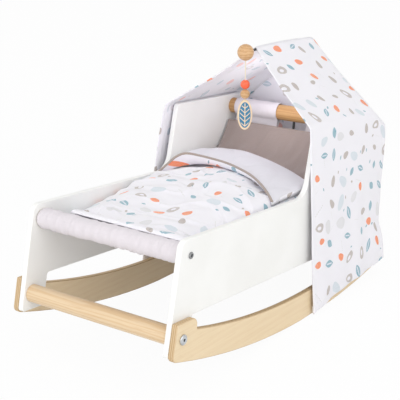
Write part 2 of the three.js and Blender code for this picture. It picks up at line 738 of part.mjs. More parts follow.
// a grid of points thickened by a cloth's thickness, as one closed skin
function clothSheet(columns, rows, point, thickness) {
  const grid = [];
  for (let j = 0; j <= rows; j += 1) {
    for (let i = 0; i <= columns; i += 1) grid.push(point(i, j / rows));
  }
  const at = (i, j) => grid[clamp(j, 0, rows) * (columns + 1) + clamp(i, 0, columns)];
  const positions = [];
  [1, -1].forEach((face) => {
    for (let j = 0; j <= rows; j += 1) {
      for (let i = 0; i <= columns; i += 1) {
        const across = at(i + 1, j).clone().sub(at(i - 1, j));
        const along = at(i, j + 1).clone().sub(at(i, j - 1));
        const normal = across.cross(along).normalize();
        positions.push(...at(i, j).clone().addScaledVector(normal, face * thickness / 2).toArray());
      }
    }
  });
  const count = grid.length;
  const index = [];
  const id = (i, j, under) => j * (columns + 1) + i + (under ? count : 0);
  const quad = (a, b, c, d) => index.push(a, b, c, a, c, d);
  for (let j = 0; j < rows; j += 1) {
    for (let i = 0; i < columns; i += 1) {
      quad(id(i, j), id(i + 1, j), id(i + 1, j + 1), id(i, j + 1));
      quad(id(i, j, true), id(i, j + 1, true), id(i + 1, j + 1, true), id(i + 1, j, true));
    }
  }
  for (let i = 0; i < columns; i += 1) {
    quad(id(i, 0), id(i, 0, true), id(i + 1, 0, true), id(i + 1, 0));
    quad(id(i, rows), id(i + 1, rows), id(i + 1, rows, true), id(i, rows, true));
  }
  for (let j = 0; j < rows; j += 1) {
    quad(id(0, j), id(0, j + 1), id(0, j + 1, true), id(0, j, true));
    quad(id(columns, j), id(columns, j, true), id(columns, j + 1, true), id(columns, j + 1));
  }
  const geometry = new THREE.BufferGeometry();
  geometry.setAttribute('position', new THREE.Float32BufferAttribute(positions, 3));
  geometry.setIndex(index);
  return toGeometry(toSolid(geometry));
}

const canopyRoof = () =>
  clothSheet(2 * (roofColumns + drapeColumns + 1), canopyRows, canopyPoint, canopyClothThickness);

// rear curtain: fills the gable and hangs down behind the head end, inside the rear edge of the canopy
function rearCurtainPoint(i, down) {
  const s = 2 * i / curtainColumns - 1;
  const inside = canopyClothThickness + seatGap;
  const roofZ = roofPoint(1, Math.abs(s), 1).z - 2 * inside / Math.cos(roofPitch);
  const z = lerp(roofZ, hemRearLift, down);
  const gable = clamp((z - tallTop) / (ridgeHeight - tallTop), 0, 1);
  const ridgeOverhang = rodCorners.top.y + rodRadius + 2 * inside - rearCornerAt(tallTop);
  const overhang = ridgeOverhang * (1 - Math.abs(s)) * gable;
  const fold = drapeFoldDepth * down * (1 - Math.cos(2 * Math.PI * drapeFolds * (s + 1) / 2)) / 2;
  const y = rearCornerAt(z) - rearStandOff + seatGap + inside + Math.max(overhang, 0) + fold / 2;
  const half = drapeOutAt(z) - halfCloth - 1.5 * seatGap;
  return new THREE.Vector3(half * s, y, z);
}
const rearCurtain = () => clothSheet(curtainColumns, curtainRows, rearCurtainPoint, canopyClothThickness);

// everything that keeps the cradle's own tilt
const rocked = new THREE.Group();
rocked.rotation.x = -restTilt;
rocked.position.set(0, 0, rockerRadius * Math.cos(restHalfAngle));
const cradle = new THREE.Group();
cradle.position.z = -rockerRadius;
rocked.add(cradle);

addPart(cradle, 'side_panel_left', sidePanel(-panelOuter), whitePaint());
addPart(cradle, 'side_panel_right', sidePanel(panelOuter - panelThickness), whitePaint());
addPart(cradle, 'runner_left', runner(-runnerOuter), birchPly());
addPart(cradle, 'runner_right', runner(runnerInner), birchPly());

addPart(cradle, 'foot_stretcher', dowel(footStretcher), pine());
addPart(cradle, 'head_stretcher', dowel(headStretcher), pine());
addPart(cradle, 'foot_rail', dowel(footRail), pine());
const rodHole = new THREE.CylinderGeometry(
  rodDiameter / 2 + slideGap / 2, rodDiameter / 2 + slideGap / 2, dowelDiameter + 2 * overrun, boreSides)
  .rotateX(Math.PI / 2)
  .translate(0, headRail.y, headRail.z);
addPart(cradle, 'head_rail', subtractAll(dowel(headRail), [rodHole]), beech());

const joints = [
  ['foot_bolt', footStretcher, runnerOuter, boltHeadDiameter, boltHeadHeight],
  ['head_bolt', headStretcher, runnerOuter, boltHeadDiameter, boltHeadHeight],
  ['foot_rail_screw', footRail, panelOuter, screwHeadDiameter, screwHeadHeight],
  ['head_rail_screw', headRail, panelOuter, screwHeadDiameter, screwHeadHeight],
];
joints.forEach(([name, place, x, diameter, height]) => {
  const right = fastener(x, diameter, height, place);
  addPart(cradle, `${name}_right`, right, zinc());
  addPart(cradle, `${name}_left`, onLeft(right, place), zinc());
  const insert = threadedInsert(place);
  addPart(cradle, `${name}_insert_right`, insert, zinc());
  addPart(cradle, `${name}_insert_left`, onLeft(insert, place), zinc());
});

addPart(cradle, 'sling_bed', sling(), slingCotton());
addPart(cradle, 'pillow', pillow(), taupeCotton());
addPart(cradle, 'duvet', duvet(), printedCotton());
addPart(cradle, 'canopy_rod', bentRod(), darkSteel());
addPart(cradle, 'rod_ball', ball(), beech());
addPart(cradle, 'canopy_cloth', canopyRoof(), printedCotton());
addPart(cradle, 'canopy_rear_curtain', rearCurtain(), printedCotton());

// the mobile hangs plumb from the ball, whatever the tilt
rocked.updateMatrixWorld(true);
const ballCentre = rodCorners.front.clone().applyMatrix4(cradle.matrixWorld);
const mobile = new THREE.Group();
mobile.position.copy(ballCentre);
const beadRadius = beadDiameter / 2;
const lowerBeadDrop = upperBeadDrop + beadDiameter + seatGap;
const leafTopDrop = lowerBeadDrop + beadRadius + leafGapBelowBead;
const cordTop = ballDiameter / 2 + slideGap;
const cordEnd = leafTopDrop + leafBoreDepth - seatGap;

function hangingCord() {
  const path = new THREE.LineCurve3(new THREE.Vector3(0, 0, -cordTop), new THREE.Vector3(0, 0, -cordEnd));
  const section = new THREE.Shape().absarc(0, 0, cordDiameter / 2, 0, 2 * Math.PI, false);
  const options = { steps: cordSteps, bevelEnabled: false, extrudePath: path, curveSegments: cordSides / 2 };
  return toGeometry(toSolid(new THREE.ExtrudeGeometry(section, options)));
}

function bead(drop) {
  const bore = new THREE.CylinderGeometry(
    beadBoreDiameter / 2, beadBoreDiameter / 2, beadDiameter + 2 * overrun, beadBoreSides)
    .rotateX(Math.PI / 2);
  return subtractAll(new THREE.SphereGeometry(beadRadius, beadSides, beadRows).rotateX(Math.PI / 2), [bore])
    .translate(0, 0, -drop);
}

function leaf() {
  const outline = new THREE.Shape().absellipse(0, 0, leafWidth / 2, leafHeight / 2, 0, 2 * Math.PI, false);
  const disc = new THREE.ExtrudeGeometry(outline, {
    depth: leafThickness - 2 * easedEdge,
    bevelEnabled: true,
    bevelThickness: easedEdge,
    bevelSize: easedEdge,
    bevelOffset: -easedEdge,
    bevelSegments: edgeSegments,
    curveSegments: leafSegments,
  }).translate(0, 0, easedEdge - leafThickness / 2).rotateX(Math.PI / 2);
  const boreLength = leafBoreDepth + overrun;
  const bore = new THREE.CylinderGeometry(
    beadBoreDiameter / 2, beadBoreDiameter / 2, boreLength, beadBoreSides)
    .rotateX(Math.PI / 2)
    .translate(0, 0, leafHeight / 2 - leafBoreDepth + boreLength / 2);
  return subtractAll(disc, [bore])
    .rotateZ(rad(leafTurnDegrees))
    .translate(0, 0, -leafTopDrop - leafHeight / 2);
}

addPart(mobile, 'mobile_cord', hangingCord(), cordCotton());
addPart(mobile, 'orange_bead', bead(upperBeadDrop), orangePaint());
addPart(mobile, 'wood_bead', bead(lowerBeadDrop), beech());
addPart(mobile, 'leaf_disc', leaf(), bluePaint());

const dollCradle = new THREE.Group();
dollCradle.add(rocked, mobile);
const middle = new THREE.Box3().setFromObject(dollCradle, true).getCenter(new THREE.Vector3());
dollCradle.position.set(-middle.x, -middle.y, 0);

export default dollCradle;
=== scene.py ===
"""Dressed model of a doll cradle with a canopy, in a small pale studio.

Shapes are drawn with the cradle standing level, in millimetres, about the point on the floor under
the middle of its runners. Rocking.place() tips them to the tilt at rest and turns them into metres.
"""

import logging
import math
from dataclasses import dataclass
from enum import Enum
from typing import Any, Callable, Sequence

import bmesh
import bpy
import numpy as np
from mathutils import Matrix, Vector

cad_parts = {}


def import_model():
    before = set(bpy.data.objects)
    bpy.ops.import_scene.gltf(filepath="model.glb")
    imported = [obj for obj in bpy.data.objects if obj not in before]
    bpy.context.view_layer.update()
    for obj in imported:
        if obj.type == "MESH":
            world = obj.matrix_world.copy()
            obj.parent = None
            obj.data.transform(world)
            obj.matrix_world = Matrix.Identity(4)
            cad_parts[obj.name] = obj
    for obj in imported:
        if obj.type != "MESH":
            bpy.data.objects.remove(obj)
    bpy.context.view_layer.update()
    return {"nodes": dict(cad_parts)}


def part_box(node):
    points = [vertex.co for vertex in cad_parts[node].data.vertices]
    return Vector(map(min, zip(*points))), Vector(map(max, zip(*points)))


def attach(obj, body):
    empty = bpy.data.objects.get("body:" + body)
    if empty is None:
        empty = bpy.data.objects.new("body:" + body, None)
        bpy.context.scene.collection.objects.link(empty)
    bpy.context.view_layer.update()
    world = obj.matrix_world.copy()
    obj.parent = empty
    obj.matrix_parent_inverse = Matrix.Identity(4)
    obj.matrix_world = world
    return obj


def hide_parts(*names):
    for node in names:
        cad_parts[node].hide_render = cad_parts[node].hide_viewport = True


log = logging.getLogger("cradle")

MILLIMETRE = 0.001
FULL_TURN = 2 * math.pi
FAR_BELOW = -1e3
SIDES = ((-1, "left"), (1, "right"))
Array = np.ndarray
Colour = tuple[float, float, float]


def smoothstep(value: Array, low: float, high: float) -> Array:
    """Rises from 0 at low to 1 at high as 3t² - 2t³."""
    t = np.clip((value - low) / (high - low), 0.0, 1.0)
    return t * t * (3.0 - 2.0 * t)


def mix(a: Any, b: Any, share: Any) -> Any:
    """Straight blend from a to b."""
    return a + (b - a) * share


def spline(knots: Sequence[Sequence[float]], count: int) -> Array:
    """Catmull-Rom curve through the knots.

    Args:
        knots: points in order, each with the same number of coordinates.
        count: how many steps the curve is cut into.

    Returns:
        count + 1 points. Between two knots the curve is the cubic that passes through both with
        half the chord of their neighbours as its slope at each.
    """
    points = np.asarray(knots, float)
    last = len(points) - 1
    along = np.linspace(0.0, last, count + 1)
    i = np.minimum(along.astype(int), last - 1)
    t = (along - i)[:, None]
    a, b = points[i], points[i + 1]
    before = points[np.maximum(i - 1, 0)]
    after = points[np.minimum(i + 2, last)]
    slope_a = (b - before) / 2
    slope_b = (after - a) / 2
    return (
        (2 * a - 2 * b + slope_a + slope_b) * t**3
        + (-3 * a + 3 * b - 2 * slope_a - slope_b) * t**2
        + slope_a * t
        + a
    )


def profile(pairs: Sequence[tuple[float, float]], steps: int = 240) -> Callable[[Array], Array]:
    """Smooth curve through pairs, as a function of the first of each pair."""
    fine = spline(pairs, steps)
    return lambda share: np.interp(share, fine[:, 0], fine[:, 1])


def waves(x: Array, y: Array, length: float, seed: int, count: int = 9, across: float = 1.0) -> Array:
    """Soft random swell between about -1 and 1.

    Args:
        x, y: places, in millimetres.
        length: typical wavelength.
        seed: picks the directions and phases.
        count: how many cosine waves are summed.
        across: stretches the swell along y where it is above 1.

    Returns:
        The sum of count cosines of random direction, length and phase, over the root of half count.
    """
    draw = np.random.default_rng(seed)
    total = np.zeros(np.broadcast(x, y).shape)
    for _ in range(count):
        turn = draw.uniform(0, 2 * math.pi)
        pitch = length * draw.uniform(0.6, 1.6)
        phase = draw.uniform(0, 2 * math.pi)
        reach = x * math.cos(turn) + y * math.sin(turn) / across
        total = total + np.cos(2 * math.pi * reach / pitch + phase)
    return total / math.sqrt(count / 2) / 1.6


def creases(x: Array, y: Array, length: float, seed: int, across: float = 1.0) -> Array:
    """Sharp ridges of cloth: 1 on the lines where a random swell is nought, falling to 0 away from them."""
    return np.clip(1.0 - 3.0 * np.abs(waves(x, y, length, seed, 6, across)), 0.0, 1.0) ** 2


@dataclass(frozen=True)
class Rocking:
    """How the level drawing stands at rest in the row frame."""

    rocker_radius: float = 1145.0
    rest_flat: float = 90.0
    tilt_degrees: float = 3.78
    shift_x: float = 0.0
    shift_y: float = 0.0

    def tipped(self, points: Array) -> Array:
        """Points in millimetres turned about the rocker's axis and lowered onto the rest flat.

        Args:
            points: level, in millimetres, the last axis x, y and z.

        Returns:
            The same points, tipped.
        """
        tilt = math.radians(self.tilt_degrees)
        drop = self.rocker_radius * math.cos(math.asin(self.rest_flat / 2 / self.rocker_radius))
        x, y, z = np.moveaxis(np.asarray(points, float), -1, 0)
        z = z - self.rocker_radius
        return np.stack(
            [
                x,
                y * math.cos(tilt) + z * math.sin(tilt),
                drop - y * math.sin(tilt) + z * math.cos(tilt),
            ],
            -1,
        )

    def place(self, points: Array) -> Array:
        """Row-frame metres of level points in millimetres."""
        return (self.tipped(points) + np.array([self.shift_x, self.shift_y, 0.0])) * MILLIMETRE

    def upright(self, points: Array, about: Array) -> Array:
        """Row-frame metres of points that hang plumb from a level place, both in millimetres."""
        hung = self.tipped(about) + np.asarray(points, float)
        return (hung + np.array([self.shift_x, self.shift_y, 0.0])) * MILLIMETRE


@dataclass(frozen=True)
class Sizes:
    """Driving sizes of the cradle in millimetres, the same as those of its solids.

    The places of a rail and of the stretchers are how far their axes stand in from the panel's
    leaning edge, and how far below its top or its arch.
    """

    inner_width: float = 240.0
    panel_thickness: float = 8.0
    runner_thickness: float = 8.5
    dowel_diameter: float = 25.0
    seat_gap: float = 0.3
    half_length: float = 290.0
    end_lean_degrees: float = 9.25
    leg_width: float = 42.5
    leg_drop: float = 45.7
    tab_rise: float = 13.4
    low_side_height: float = 102.0
    hood_height: float = 101.0
    hood_start: float = 37.5
    hood_lean_degrees: float = 11.05
    rocker_radius: float = 1145.0
    runner_depth: float = 41.5
    rail_cloth: float = 1.2
    bolt_head_height: float = 2.4
    screw_head_height: float = 1.8
    foot_rail_place: tuple[float, float] = (21.2, 21.7)
    head_rail_place: tuple[float, float] = (35.6, 18.3)
    stretcher_place: tuple[float, float] = (15.9, 22.0)

    @property
    def upper_arc(self) -> float:
        """Radius of the runner's upper edge."""
        return self.rocker_radius - self.runner_depth

    @property
    def panel_bottom(self) -> float:
        """Height of the arch between the legs."""
        reach = self.half_length - self.leg_width
        return self.rocker_radius - math.sqrt(self.upper_arc**2 - reach**2) + self.tab_rise

    @property
    def leg_lift(self) -> float:
        """Height of the feet of the side panels above the floor."""
        return self.panel_bottom - self.leg_drop

    @property
    def low_top(self) -> float:
        """Height of the low bed side."""
        return self.panel_bottom + self.low_side_height

    @property
    def tall_top(self) -> float:
        """Height of the hood side."""
        return self.low_top + self.hood_height

    @property
    def panel_outer(self) -> float:
        """Outer face of the side panel, from the middle."""
        return self.inner_width / 2 + self.seat_gap + self.panel_thickness

    @property
    def runner_inner(self) -> float:
        """Inner face of the runner, from the middle."""
        return self.panel_outer + self.seat_gap

    @property
    def runner_outer(self) -> float:
        """Outer face of the runner, from the middle."""
        return self.runner_inner + self.runner_thickness

    @property
    def dowel_radius(self) -> float:
        """Half the diameter of the dowels."""
        return self.dowel_diameter / 2

    def foot_edge(self, z: Any) -> Any:
        """Leaning foot edge of the side panel at height z."""
        return -self.half_length + math.tan(math.radians(self.end_lean_degrees)) * z

    def rear_edge(self, z: Any) -> Any:
        """Leaning head edge of the side panel at height z."""
        return -self.foot_edge(z)

    def hood_edge(self, z: Any) -> Any:
        """Leaning front edge of the hood at height z."""
        return self.hood_start + math.tan(math.radians(self.hood_lean_degrees)) * (z - self.low_top)

    @property
    def foot_rail(self) -> Array:
        """Axis of the foot rail, as (y, z).

        Returns:
            y and z in level millimetres.
        """
        inset, drop = self.foot_rail_place
        z = self.low_top - drop
        return np.array([self.foot_edge(z) + inset, z])

    @property
    def head_rail(self) -> Array:
        """Axis of the head rail, as (y, z).

        Returns:
            y and z in level millimetres.
        """
        inset, drop = self.head_rail_place
        z = self.tall_top - drop
        return np.array([self.rear_edge(z) - inset, z])

    @property
    def foot_stretcher(self) -> Array:
        """Axis of the lower dowel at the foot end, as (y, z).

        Returns:
            y and z in level millimetres.
        """
        inset, drop = self.stretcher_place
        z = self.panel_bottom - drop
        return np.array([self.foot_edge(z) + inset, z])

    @property
    def head_stretcher(self) -> Array:
        """Axis of the lower dowel at the head end, as (y, z)."""
        return self.foot_stretcher * np.array([-1.0, 1.0])


SIZES = Sizes()


def turned_left(vectors: Array) -> Array:
    """Vectors in a plane, turned by a right angle."""
    return np.stack([-vectors[..., 1], vectors[..., 0]], -1)


def unit(vectors: Array) -> Array:
    """Vectors scaled to length 1."""
    return vectors / np.maximum(np.linalg.norm(vectors, axis=-1, keepdims=True), 1e-9)


def circle(turn: Any) -> Array:
    """Points of the unit circle at those angles."""
    return np.stack([np.cos(turn), np.sin(turn)], -1)


def round_angles(count: int) -> Array:
    """That many even angles round a circle."""
    return np.linspace(0, FULL_TURN, count, endpoint=False)


def running_length(points: Array, axis: int = 0) -> Array:
    """Length from the start to each point of a path, or along one axis of a grid."""
    steps = np.linalg.norm(np.diff(points, axis=axis), axis=-1)
    return np.insert(np.cumsum(steps, axis), 0, 0.0, axis)


def grid_quads(rows: int, columns: int, wrap_rows: bool, wrap_columns: bool) -> tuple[Array, Array]:
    """Corner numbers of the quads of a grid.

    Args:
        rows, columns: how many points the grid has each way.
        wrap_rows, wrap_columns: whether the last row or column joins the first.

    Returns:
        Two arrays with four numbers for each quad: into the points, and into a map of the same
        grid that keeps a row or column more where the grid wraps.
    """
    counts = np.arange(rows - (not wrap_rows)), np.arange(columns - (not wrap_columns))
    i, j = np.meshgrid(*counts, indexing="ij")
    steps = [(0, 0), (0, 1), (1, 1), (1, 0)]
    points = [((i + a) % rows) * columns + (j + b) % columns for a, b in steps]
    maps = [(i + a) * (columns + wrap_columns) + (j + b) for a, b in steps]
    return np.stack(points, -1).reshape(-1, 4), np.stack(maps, -1).reshape(-1, 4)


class Skin:
    """Collects the grids, tubes and caps of one piece, drawn in millimetres, and makes its mesh."""

    merge_distance = 1e-6

    def __init__(self, name: str, place: Callable[[Array], Array]) -> None:
        """Starts an empty piece.

        Args:
            name: of the piece.
            place: turns its millimetres into metres of the row frame.
        """
        self.name = name
        self.place = place
        self.points: list[Array] = []
        self.faces: list[tuple[int, ...]] = []
        self.maps: list[Array] = []
        self.kinds: list[Array] = []
        self.count = 0

    def _add(self, points: Array, faces: Array, maps: Array, kind: int) -> None:
        """Appends points with their faces, the map of each corner and the faces' material.

        Args:
            points: in the skin's millimetres.
            faces: corner numbers, a row for each face.
            maps: place of each corner in the map, in millimetres.
            kind: number of the material.
        """
        placed = self.place(points).reshape(-1, 3)
        self.points.append(placed)
        self.faces.extend(map(tuple, (faces + self.count).tolist()))
        self.maps.append(maps.reshape(-1, 2) * MILLIMETRE)
        self.kinds.append(np.full(len(faces), kind))
        self.count += len(placed)

    def grid(
        self, points: Array, uv: Array | None = None, wrap_rows: bool = False, wrap_columns: bool = False,
        flip: bool = False, kind: int = 0,
    ) -> "Skin":
        """Adds a surface.

        Args:
            points: rows by columns by 3.
            uv: the map of those points, with one more row or column where it wraps. Without it the
                map runs from 0 to 1 m each way.
            wrap_rows, wrap_columns: whether the grid closes on itself that way.
            flip: turns the faces round.
            kind: number of the material.

        Returns:
            The skin itself.
        """
        rows, columns = points.shape[:2]
        quads, corners = grid_quads(rows, columns, wrap_rows, wrap_columns)
        if uv is None:
            shares = [np.linspace(0, 1 / MILLIMETRE, n) for n in (columns + wrap_columns, rows + wrap_rows)]
            uv = np.stack(np.meshgrid(*shares), -1)
        order = slice(None, None, -1 if flip else 1)
        self._add(points, quads[:, order], uv.reshape(-1, 2)[corners[:, order]], kind)
        return self

    def cap(self, points: Array, flip: bool = False, uv: Array | None = None) -> "Skin":
        """Adds one flat face with many corners, mapped by y and z where it has no map of its own.

        Args:
            points: its corners in order.
            flip: turns the face round.
            uv: the map of the corners, in millimetres.

        Returns:
            The skin itself.
        """
        order = np.arange(len(points))[None, :: -1 if flip else 1]
        uv = self.place(points)[:, 1:] / MILLIMETRE if uv is None else uv
        self._add(points, order, uv[order[0]], 0)
        return self

    def capped(self, rings: Array, uv: Array | None = None, flip: bool = False, kind: int = 0) -> "Skin":
        """Adds a surface that closes round its columns, with a flat cap on each end."""
        return self.grid(rings, uv, False, True, flip, kind).cap(rings[0], True).cap(rings[-1])

    def stitches(self, grids: Array) -> "Skin":
        """Adds many small tubes at once, each a grid that closes round its columns.

        Args:
            grids: number by rows by columns by 3.

        Returns:
            The skin itself.
        """
        number, rows, columns = grids.shape[:3]
        quads, _ = grid_quads(rows, columns, False, True)
        base = (np.arange(number) * rows * columns)[:, None, None]
        all_quads = (quads[None] + base).reshape(-1, 4)
        self._add(grids, all_quads, np.zeros((*all_quads.shape, 2)), 0)
        return self

    def build(
        self, body: str, slot: str, materials: Sequence[bpy.types.Material],
        node: str = "", closed: bool = True,
    ) -> bpy.types.Object:
        """Args:
            body: name of the CAD body that it rides on.
            slot: the record's slot. Not used.
            materials: one for each kind.
            node: the CAD node that it replaces, if any.
            closed: turns the faces of a closed piece outwards.

        Returns:
            The new object, at the origin.
        """
        mesh = bpy.data.meshes.new(self.name)
        mesh.from_pydata(np.concatenate(self.points).tolist(), [], self.faces)
        layer = mesh.uv_layers.new(name="cloth")
        layer.data.foreach_set("uv", np.concatenate(self.maps).astype(np.float32).ravel())
        mesh.polygons.foreach_set("material_index", np.concatenate(self.kinds).astype(np.int32))
        mesh.polygons.foreach_set("use_smooth", np.full(len(mesh.polygons), True))
        for material in materials:
            mesh.materials.append(material)
        made = bmesh.new()
        made.from_mesh(mesh)
        bmesh.ops.remove_doubles(made, verts=made.verts, dist=self.merge_distance)
        if closed:
            bmesh.ops.recalc_face_normals(made, faces=made.faces)
        made.to_mesh(mesh)
        made.free()
        mesh.update()
        piece = bpy.data.objects.new(self.name, mesh)
        bpy.context.collection.objects.link(piece)
        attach(piece, body)
        if node:
            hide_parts(node)
        log.info("%s: %d faces", self.name, len(mesh.polygons))
        return piece


def thicken(piece: bpy.types.Object, cloth: float, inner: int = 0) -> None:
    """Gives a sheet its thickness, half to either side.

    Args:
        piece: the sheet.
        cloth: thickness in millimetres.
        inner: how many materials further the inner face takes its own.
    """
    solid = piece.modifiers.new("thickness", "SOLIDIFY")
    solid.thickness = cloth * MILLIMETRE
    solid.offset = 0.0
    solid.material_offset = inner
    solid.material_offset_rim = 0
    solid.use_even_offset = False


def subdivide(piece: bpy.types.Object, levels: int = 1) -> None:
    """Rounds a piece off by subdivision, the same in view and render.

    Args:
        piece: to round off.
        levels: how many times.
    """
    modifier = piece.modifiers.new("round", "SUBSURF")
    modifier.levels = levels
    modifier.render_levels = levels


def tube(path: Array, radius: Any, sides: int, up: Sequence[float] = (0.0, 0.0, 1.0)) -> tuple[Array, Array]:
    """Rings of a tube along a path.

    Args:
        path: points of the centreline.
        radius: one value, or one for each point and side.
        sides: corners of each ring.
        up: a direction that the path never takes, which fixes the start of each ring.

    Returns:
        The rings, each at right angles to the path: centre + radius (cos a · side + sin a · over),
        and their map with the length along the path first, in the path's units.
    """
    ahead = unit(np.gradient(path, axis=0))
    side = unit(np.cross(np.asarray(up, float), ahead))
    axes = np.stack([side, np.cross(ahead, side)], 1)
    reach = np.broadcast_to(radius, (len(path), sides))
    rings = path[:, None] + (reach[..., None] * circle(round_angles(sides))) @ axes
    wide = np.linspace(0, FULL_TURN, sides + 1) * float(np.mean(reach))
    return rings, np.stack(np.meshgrid(running_length(path), wide, indexing="ij"), -1)


def laid_out(points: Array) -> Array:
    """Map of a grid by its lengths along rows and columns, measured from its middle."""
    runs = [(running_length(points, axis), axis) for axis in (1, 0)]
    return np.stack([run - np.take(run, [run.shape[axis] // 2], axis) for run, axis in runs], -1)


def grid_normals(points: Array, towards: Sequence[float]) -> Array:
    """Unit normals of a grid: the cross product of its two slopes.

    Args:
        points: rows by columns by 3.
        towards: a point on the side that the normals face, as seen from the middle of the grid.

    Returns:
        One normal for each point.
    """
    normals = unit(np.cross(np.gradient(points, axis=0), np.gradient(points, axis=1)))
    row, column = points.shape[0] // 2, points.shape[1] // 2
    facing = normals[row, column] @ (np.asarray(towards, float) - points[row, column])
    return normals if facing > 0 else -normals


def hemmed(points: Array, under: Array, uv: Array, rows: int, radius: float) -> tuple[Array, Array, Array]:
    """Folds the first rows of a cloth back under it.

    The fold is a half circle, edge + r sin a · ahead + r (1 - cos a) · under, and the turned-in
    rows lie 2 r under the rows that they cover.

    Args:
        points: rows by columns by 3.
        under: unit normals towards the side that the hem is turned to.
        uv: the map of the points.
        rows: how many rows the hem is wide.
        radius: of the fold.

    Returns:
        The three arrays with the new rows in front.
    """
    ahead = unit(points[0] - points[1])
    turn = np.linspace(math.pi, 0, 5)[:-1, None, None]
    arc = points[0] + radius * np.sin(turn) * ahead + radius * (1 - np.cos(turn)) * under[0]
    back = points[rows:0:-1] + 2 * radius * under[rows:0:-1]
    edge = np.broadcast_to(under[0], arc.shape)
    flat = np.broadcast_to(uv[0], (len(arc), *uv[0].shape))
    return (
        np.concatenate([back, arc, points]),
        np.concatenate([under[rows:0:-1], edge, under]),
        np.concatenate([2 * uv[0] - uv[rows:0:-1], flat, uv]),
    )


def stitch_run(
    path: Array, over: Array, pitch: float = 3.0, length: float = 2.1, width: float = 0.42
) -> Array:
    """Sewing thread along a line, as a grid of rounded stitches.

    Args:
        path: points of the seam.
        over: unit normals of the cloth, one for each point.
        pitch, length, width: of the stitches, in the path's units.

    Returns:
        Stitches by 5 by 6 by 3: five rings of six points, with radius w √(1 - s²)/2 at s along.
    """
    run = running_length(path)
    along = np.linspace(-1, 1, 5)
    at = np.arange(pitch / 2, run[-1], pitch)[:, None] + along * length / 2
    place, up = (np.stack([np.interp(at, run, line[:, k]) for k in range(3)], -1) for line in (path, over))
    up = unit(up)
    side = np.cross(unit(np.gradient(place, axis=1)), up)
    reach = width / 2 * np.sqrt(np.clip(1 - along**2, 0, 1))[None, :, None, None]
    turn = round_angles(6)[:, None]
    ring = side[:, :, None] * np.cos(turn) + up[:, :, None] * (0.25 + np.sin(turn))
    return place[:, :, None] + reach * ring


def revolved(outline: Array, sides: int) -> tuple[Array, Array]:
    """Surface of revolution about Z.

    Args:
        outline: pairs of radius and height, from the bottom to the top.
        sides: steps round the axis.

    Returns:
        Points (r cos a, r sin a, z) row by row, and their map in the same units.
    """
    r, z = outline[:, 0, None, None], outline[:, 1, None, None]
    ring = circle(round_angles(sides))
    points = np.concatenate([r * ring, z + 0 * ring[:, :1]], -1)
    wide = np.linspace(0, FULL_TURN, sides + 1) * outline[:, 0].max()
    return points, np.stack(np.meshgrid(wide, running_length(outline)), -1)


def _step(operation: str, swapped: bool = False) -> Callable[..., "Value"]:
    """Method that adds a Math node, with its two inputs swapped where the value stands second.

    Args:
        operation: name of the node's operation.
        swapped: whether the value stands second.

    Returns:
        The method.
    """

    def apply(value: "Value", other: Any = 0.0) -> "Value":
        """Result of the operation on the value and another."""
        pair = (other, value) if swapped else (value, other)
        return value.nodes.node("Math", dict(enumerate(pair)), operation=operation)

    return apply


class Value:
    """One output of a node, which takes part in arithmetic as a number does."""

    __add__, __radd__ = _step("ADD"), _step("ADD", True)
    __sub__, __rsub__ = _step("SUBTRACT"), _step("SUBTRACT", True)
    __mul__, __truediv__, __pow__ = _step("MULTIPLY"), _step("DIVIDE"), _step("POWER")
    __abs__, sine, root, fraction = _step("ABSOLUTE"), _step("SINE"), _step("SQRT"), _step("FRACT")
    least, most, below = _step("MINIMUM"), _step("MAXIMUM"), _step("LESS_THAN")

    def __init__(self, nodes: "Nodes", socket: bpy.types.NodeSocket) -> None:
        """Wraps an output socket of those nodes."""
        self.nodes = nodes
        self.socket = socket

    def stretch(self, low: float, high: float, to_low: float = 0.0, to_high: float = 1.0) -> "Value":
        """Maps low…high smoothly to to_low…to_high and clamps it there."""
        values = {0: self, 1: low, 2: high, 3: to_low, 4: to_high}
        return self.nodes.node("MapRange", values, interpolation_type="SMOOTHSTEP")

    def scaled(self, scale: Sequence[float], shift: Sequence[float] = (0, 0, 0)) -> "Value":
        """A place times a scale for each axis, plus a shift."""
        return self.nodes.node("Mapping", {"Vector": self, "Scale": scale, "Location": shift})

    def noise(self, scale: float, detail: float = 3.0, roughness: float = 0.5) -> "Value":
        """Noise between 0 and 1 at a place."""
        values = {"Vector": self, "Scale": scale, "Detail": detail, "Roughness": roughness}
        return self.nodes.node("TexNoise", values, "Fac")


